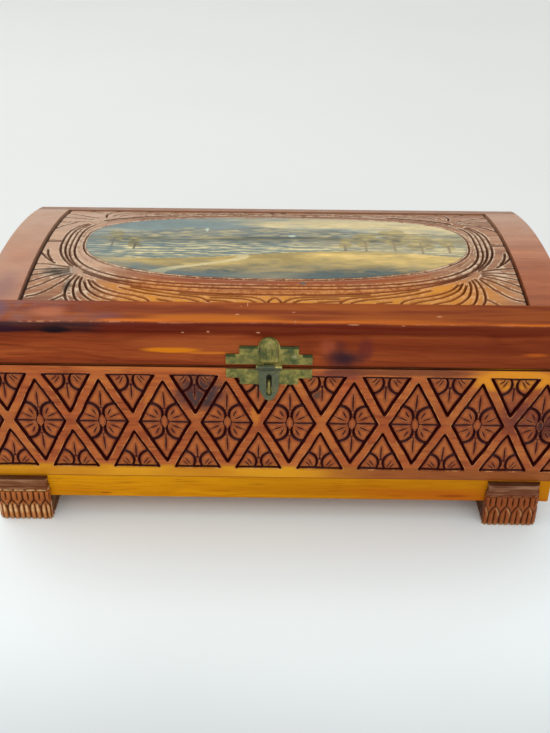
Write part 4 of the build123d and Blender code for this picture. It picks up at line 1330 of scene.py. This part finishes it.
def lid_end_cedar():
    """Lid ends: browner than the rails, with a painted pale grey sheen, strongest at the back and at the
    left.
    """
    tints = (192, 118, 74), (172, 98, 60), (150, 82, 50)
    wood = cedar("lid_end_cedar", *tints, (0.4, 0.0, 0.7), 0.3, (124, 62, 40))
    wobble = wood.noise(24, 3, 0.6)
    # Painted sheen: pale grey towards the left and the back, and in two patches at the left end.
    wood.over((196, 156, 132), (wood.x, 0, -100), (wobble, 0.3, 0.7, 0.3, 0.7))
    wood.over((188, 150, 122), (wood.y, -40, 60), 0.7)
    wood.stained(wobble, (
        ((-130, -44, 112), (10, 18, 30), (136, 96, 94), 0.6, 0.2),
        ((-131, -14, 118), (10, 9, 30), (190, 130, 100), 0.6, 0.2),
    ))
    return finish_cedar(wood, 0.4, 0.1, 0.25, 0.18)


def wall_cedar(name="wall_cedar", grain="X", shift=(0.9, 0.5, 0.2)):
    """Back and end boards, inside and out."""
    return finish_cedar(cedar(name, (200, 98, 48), (172, 76, 34), (132, 50, 22), shift, grain=grain))


def paint(node, material):
    """Gives a CAD node that keeps its shape its material."""
    mesh = frame["nodes"][node].data
    mesh.materials.clear()
    mesh.materials.append(material)


# Floor and light
floor_half = 6.0


def add_floor():
    mesh = bpy.data.meshes.new("floor")
    corners = [(x * floor_half, y * floor_half, 0) for x, y in ((-1, -1), (1, -1), (1, 1), (-1, 1))]
    mesh.from_pydata(corners, [], [(0, 1, 2, 3)])
    shader = Shader("pale_floor")
    cloud = shader.noise(3, 3, 0.5)
    depth = shader.shifted(shader.y, cloud, 50)
    shader.colour = shader.mix(cloud, (226, 227, 226), (232, 233, 231))
    # Painted light and shade: the floor is lighter round and just in front of the box, where its shadow
    # falls, and darker nearer the camera.
    shader.over((246, 253, 255), (depth, 300, -70))
    shader.over((197, 201, 203), (depth, -100, -240))
    mesh.materials.append(shader.finished(0.65))
    placed("floor", mesh)


def add_light(name, place, aim, width, height, watts, colour):
    data = bpy.data.lights.new(name, "AREA")
    data.shape = "RECTANGLE"
    data.size, data.size_y = width, height
    data.energy = watts
    data.color = colour
    light = placed(name, data)
    light.location = place
    light.rotation_euler = (Vector(aim) - Vector(place)).to_track_quat("-Z", "Y").to_euler()


def add_world():
    world = bpy.data.worlds.new("studio")
    world.use_nodes = True
    background = world.node_tree.nodes["Background"].inputs
    background["Color"].default_value = (0.98, 1.0, 0.985, 1)
    background["Strength"].default_value = 0.74
    bpy.context.scene.world = world


add_camera()
add_floor()
add_world()
add_light("key", (-0.9, 0.45, 1.5), (0, 0, 0.05), 1.3, 1.2, 8.2, (1.0, 0.99, 0.97))
add_light("back_card", (0.0, 2.2, 1.0), (0, 0, 0.1), 3.0, 1.2, 3, (0.97, 0.99, 1.0))
add_light("front_fill", (0.2, -1.6, 1.1), (0, -0.2, 0.0), 2.4, 1.4, 11.6, (0.98, 1.0, 1.0))
bpy.context.scene.view_settings.view_transform = "Standard"

add_front_board(lattice_cedar())
add_lid_panel(panel_cedar())
add_picture(painted_print())
feet_material = foot_cedar()
# Each foot: its row from front to back, its side, and where its carving begins.
feet = (
    ("front_left_foot", -1, -1, 0.0),
    ("front_right_foot", -1, 1, 0.5),
    ("rear_left_foot", 1, -1, 0.25),
    ("rear_right_foot", 1, 1, 0.75),
)
for name, row, side, phase in feet:
    add_foot(name, row, side, phase, feet_material)
remade = ["front_board", "lid_top_panel", "picture_print"] + [foot[0] for foot in feet]
materials = {
    "tarnished_brass": tarnished_brass(),
    "steel": dull_steel(),
    "cedar_sapwood": sapwood(),
    "cedar_lid": lid_cedar(),
    "cedar_walls": wall_cedar(),
}
own = {"hasp_tongue": tarnished_brass("tongue_brass", 0.7)}
own["left_end_board"] = own["right_end_board"] = wall_cedar("end_wall_cedar", "Y", (0.2, 0.7, 0.5))
own["lid_left_end"] = own["lid_right_end"] = lid_end_cedar()
for node, slot in slots.items():
    if node not in remade:
        paint(node, own.get(node) or materials[slot])
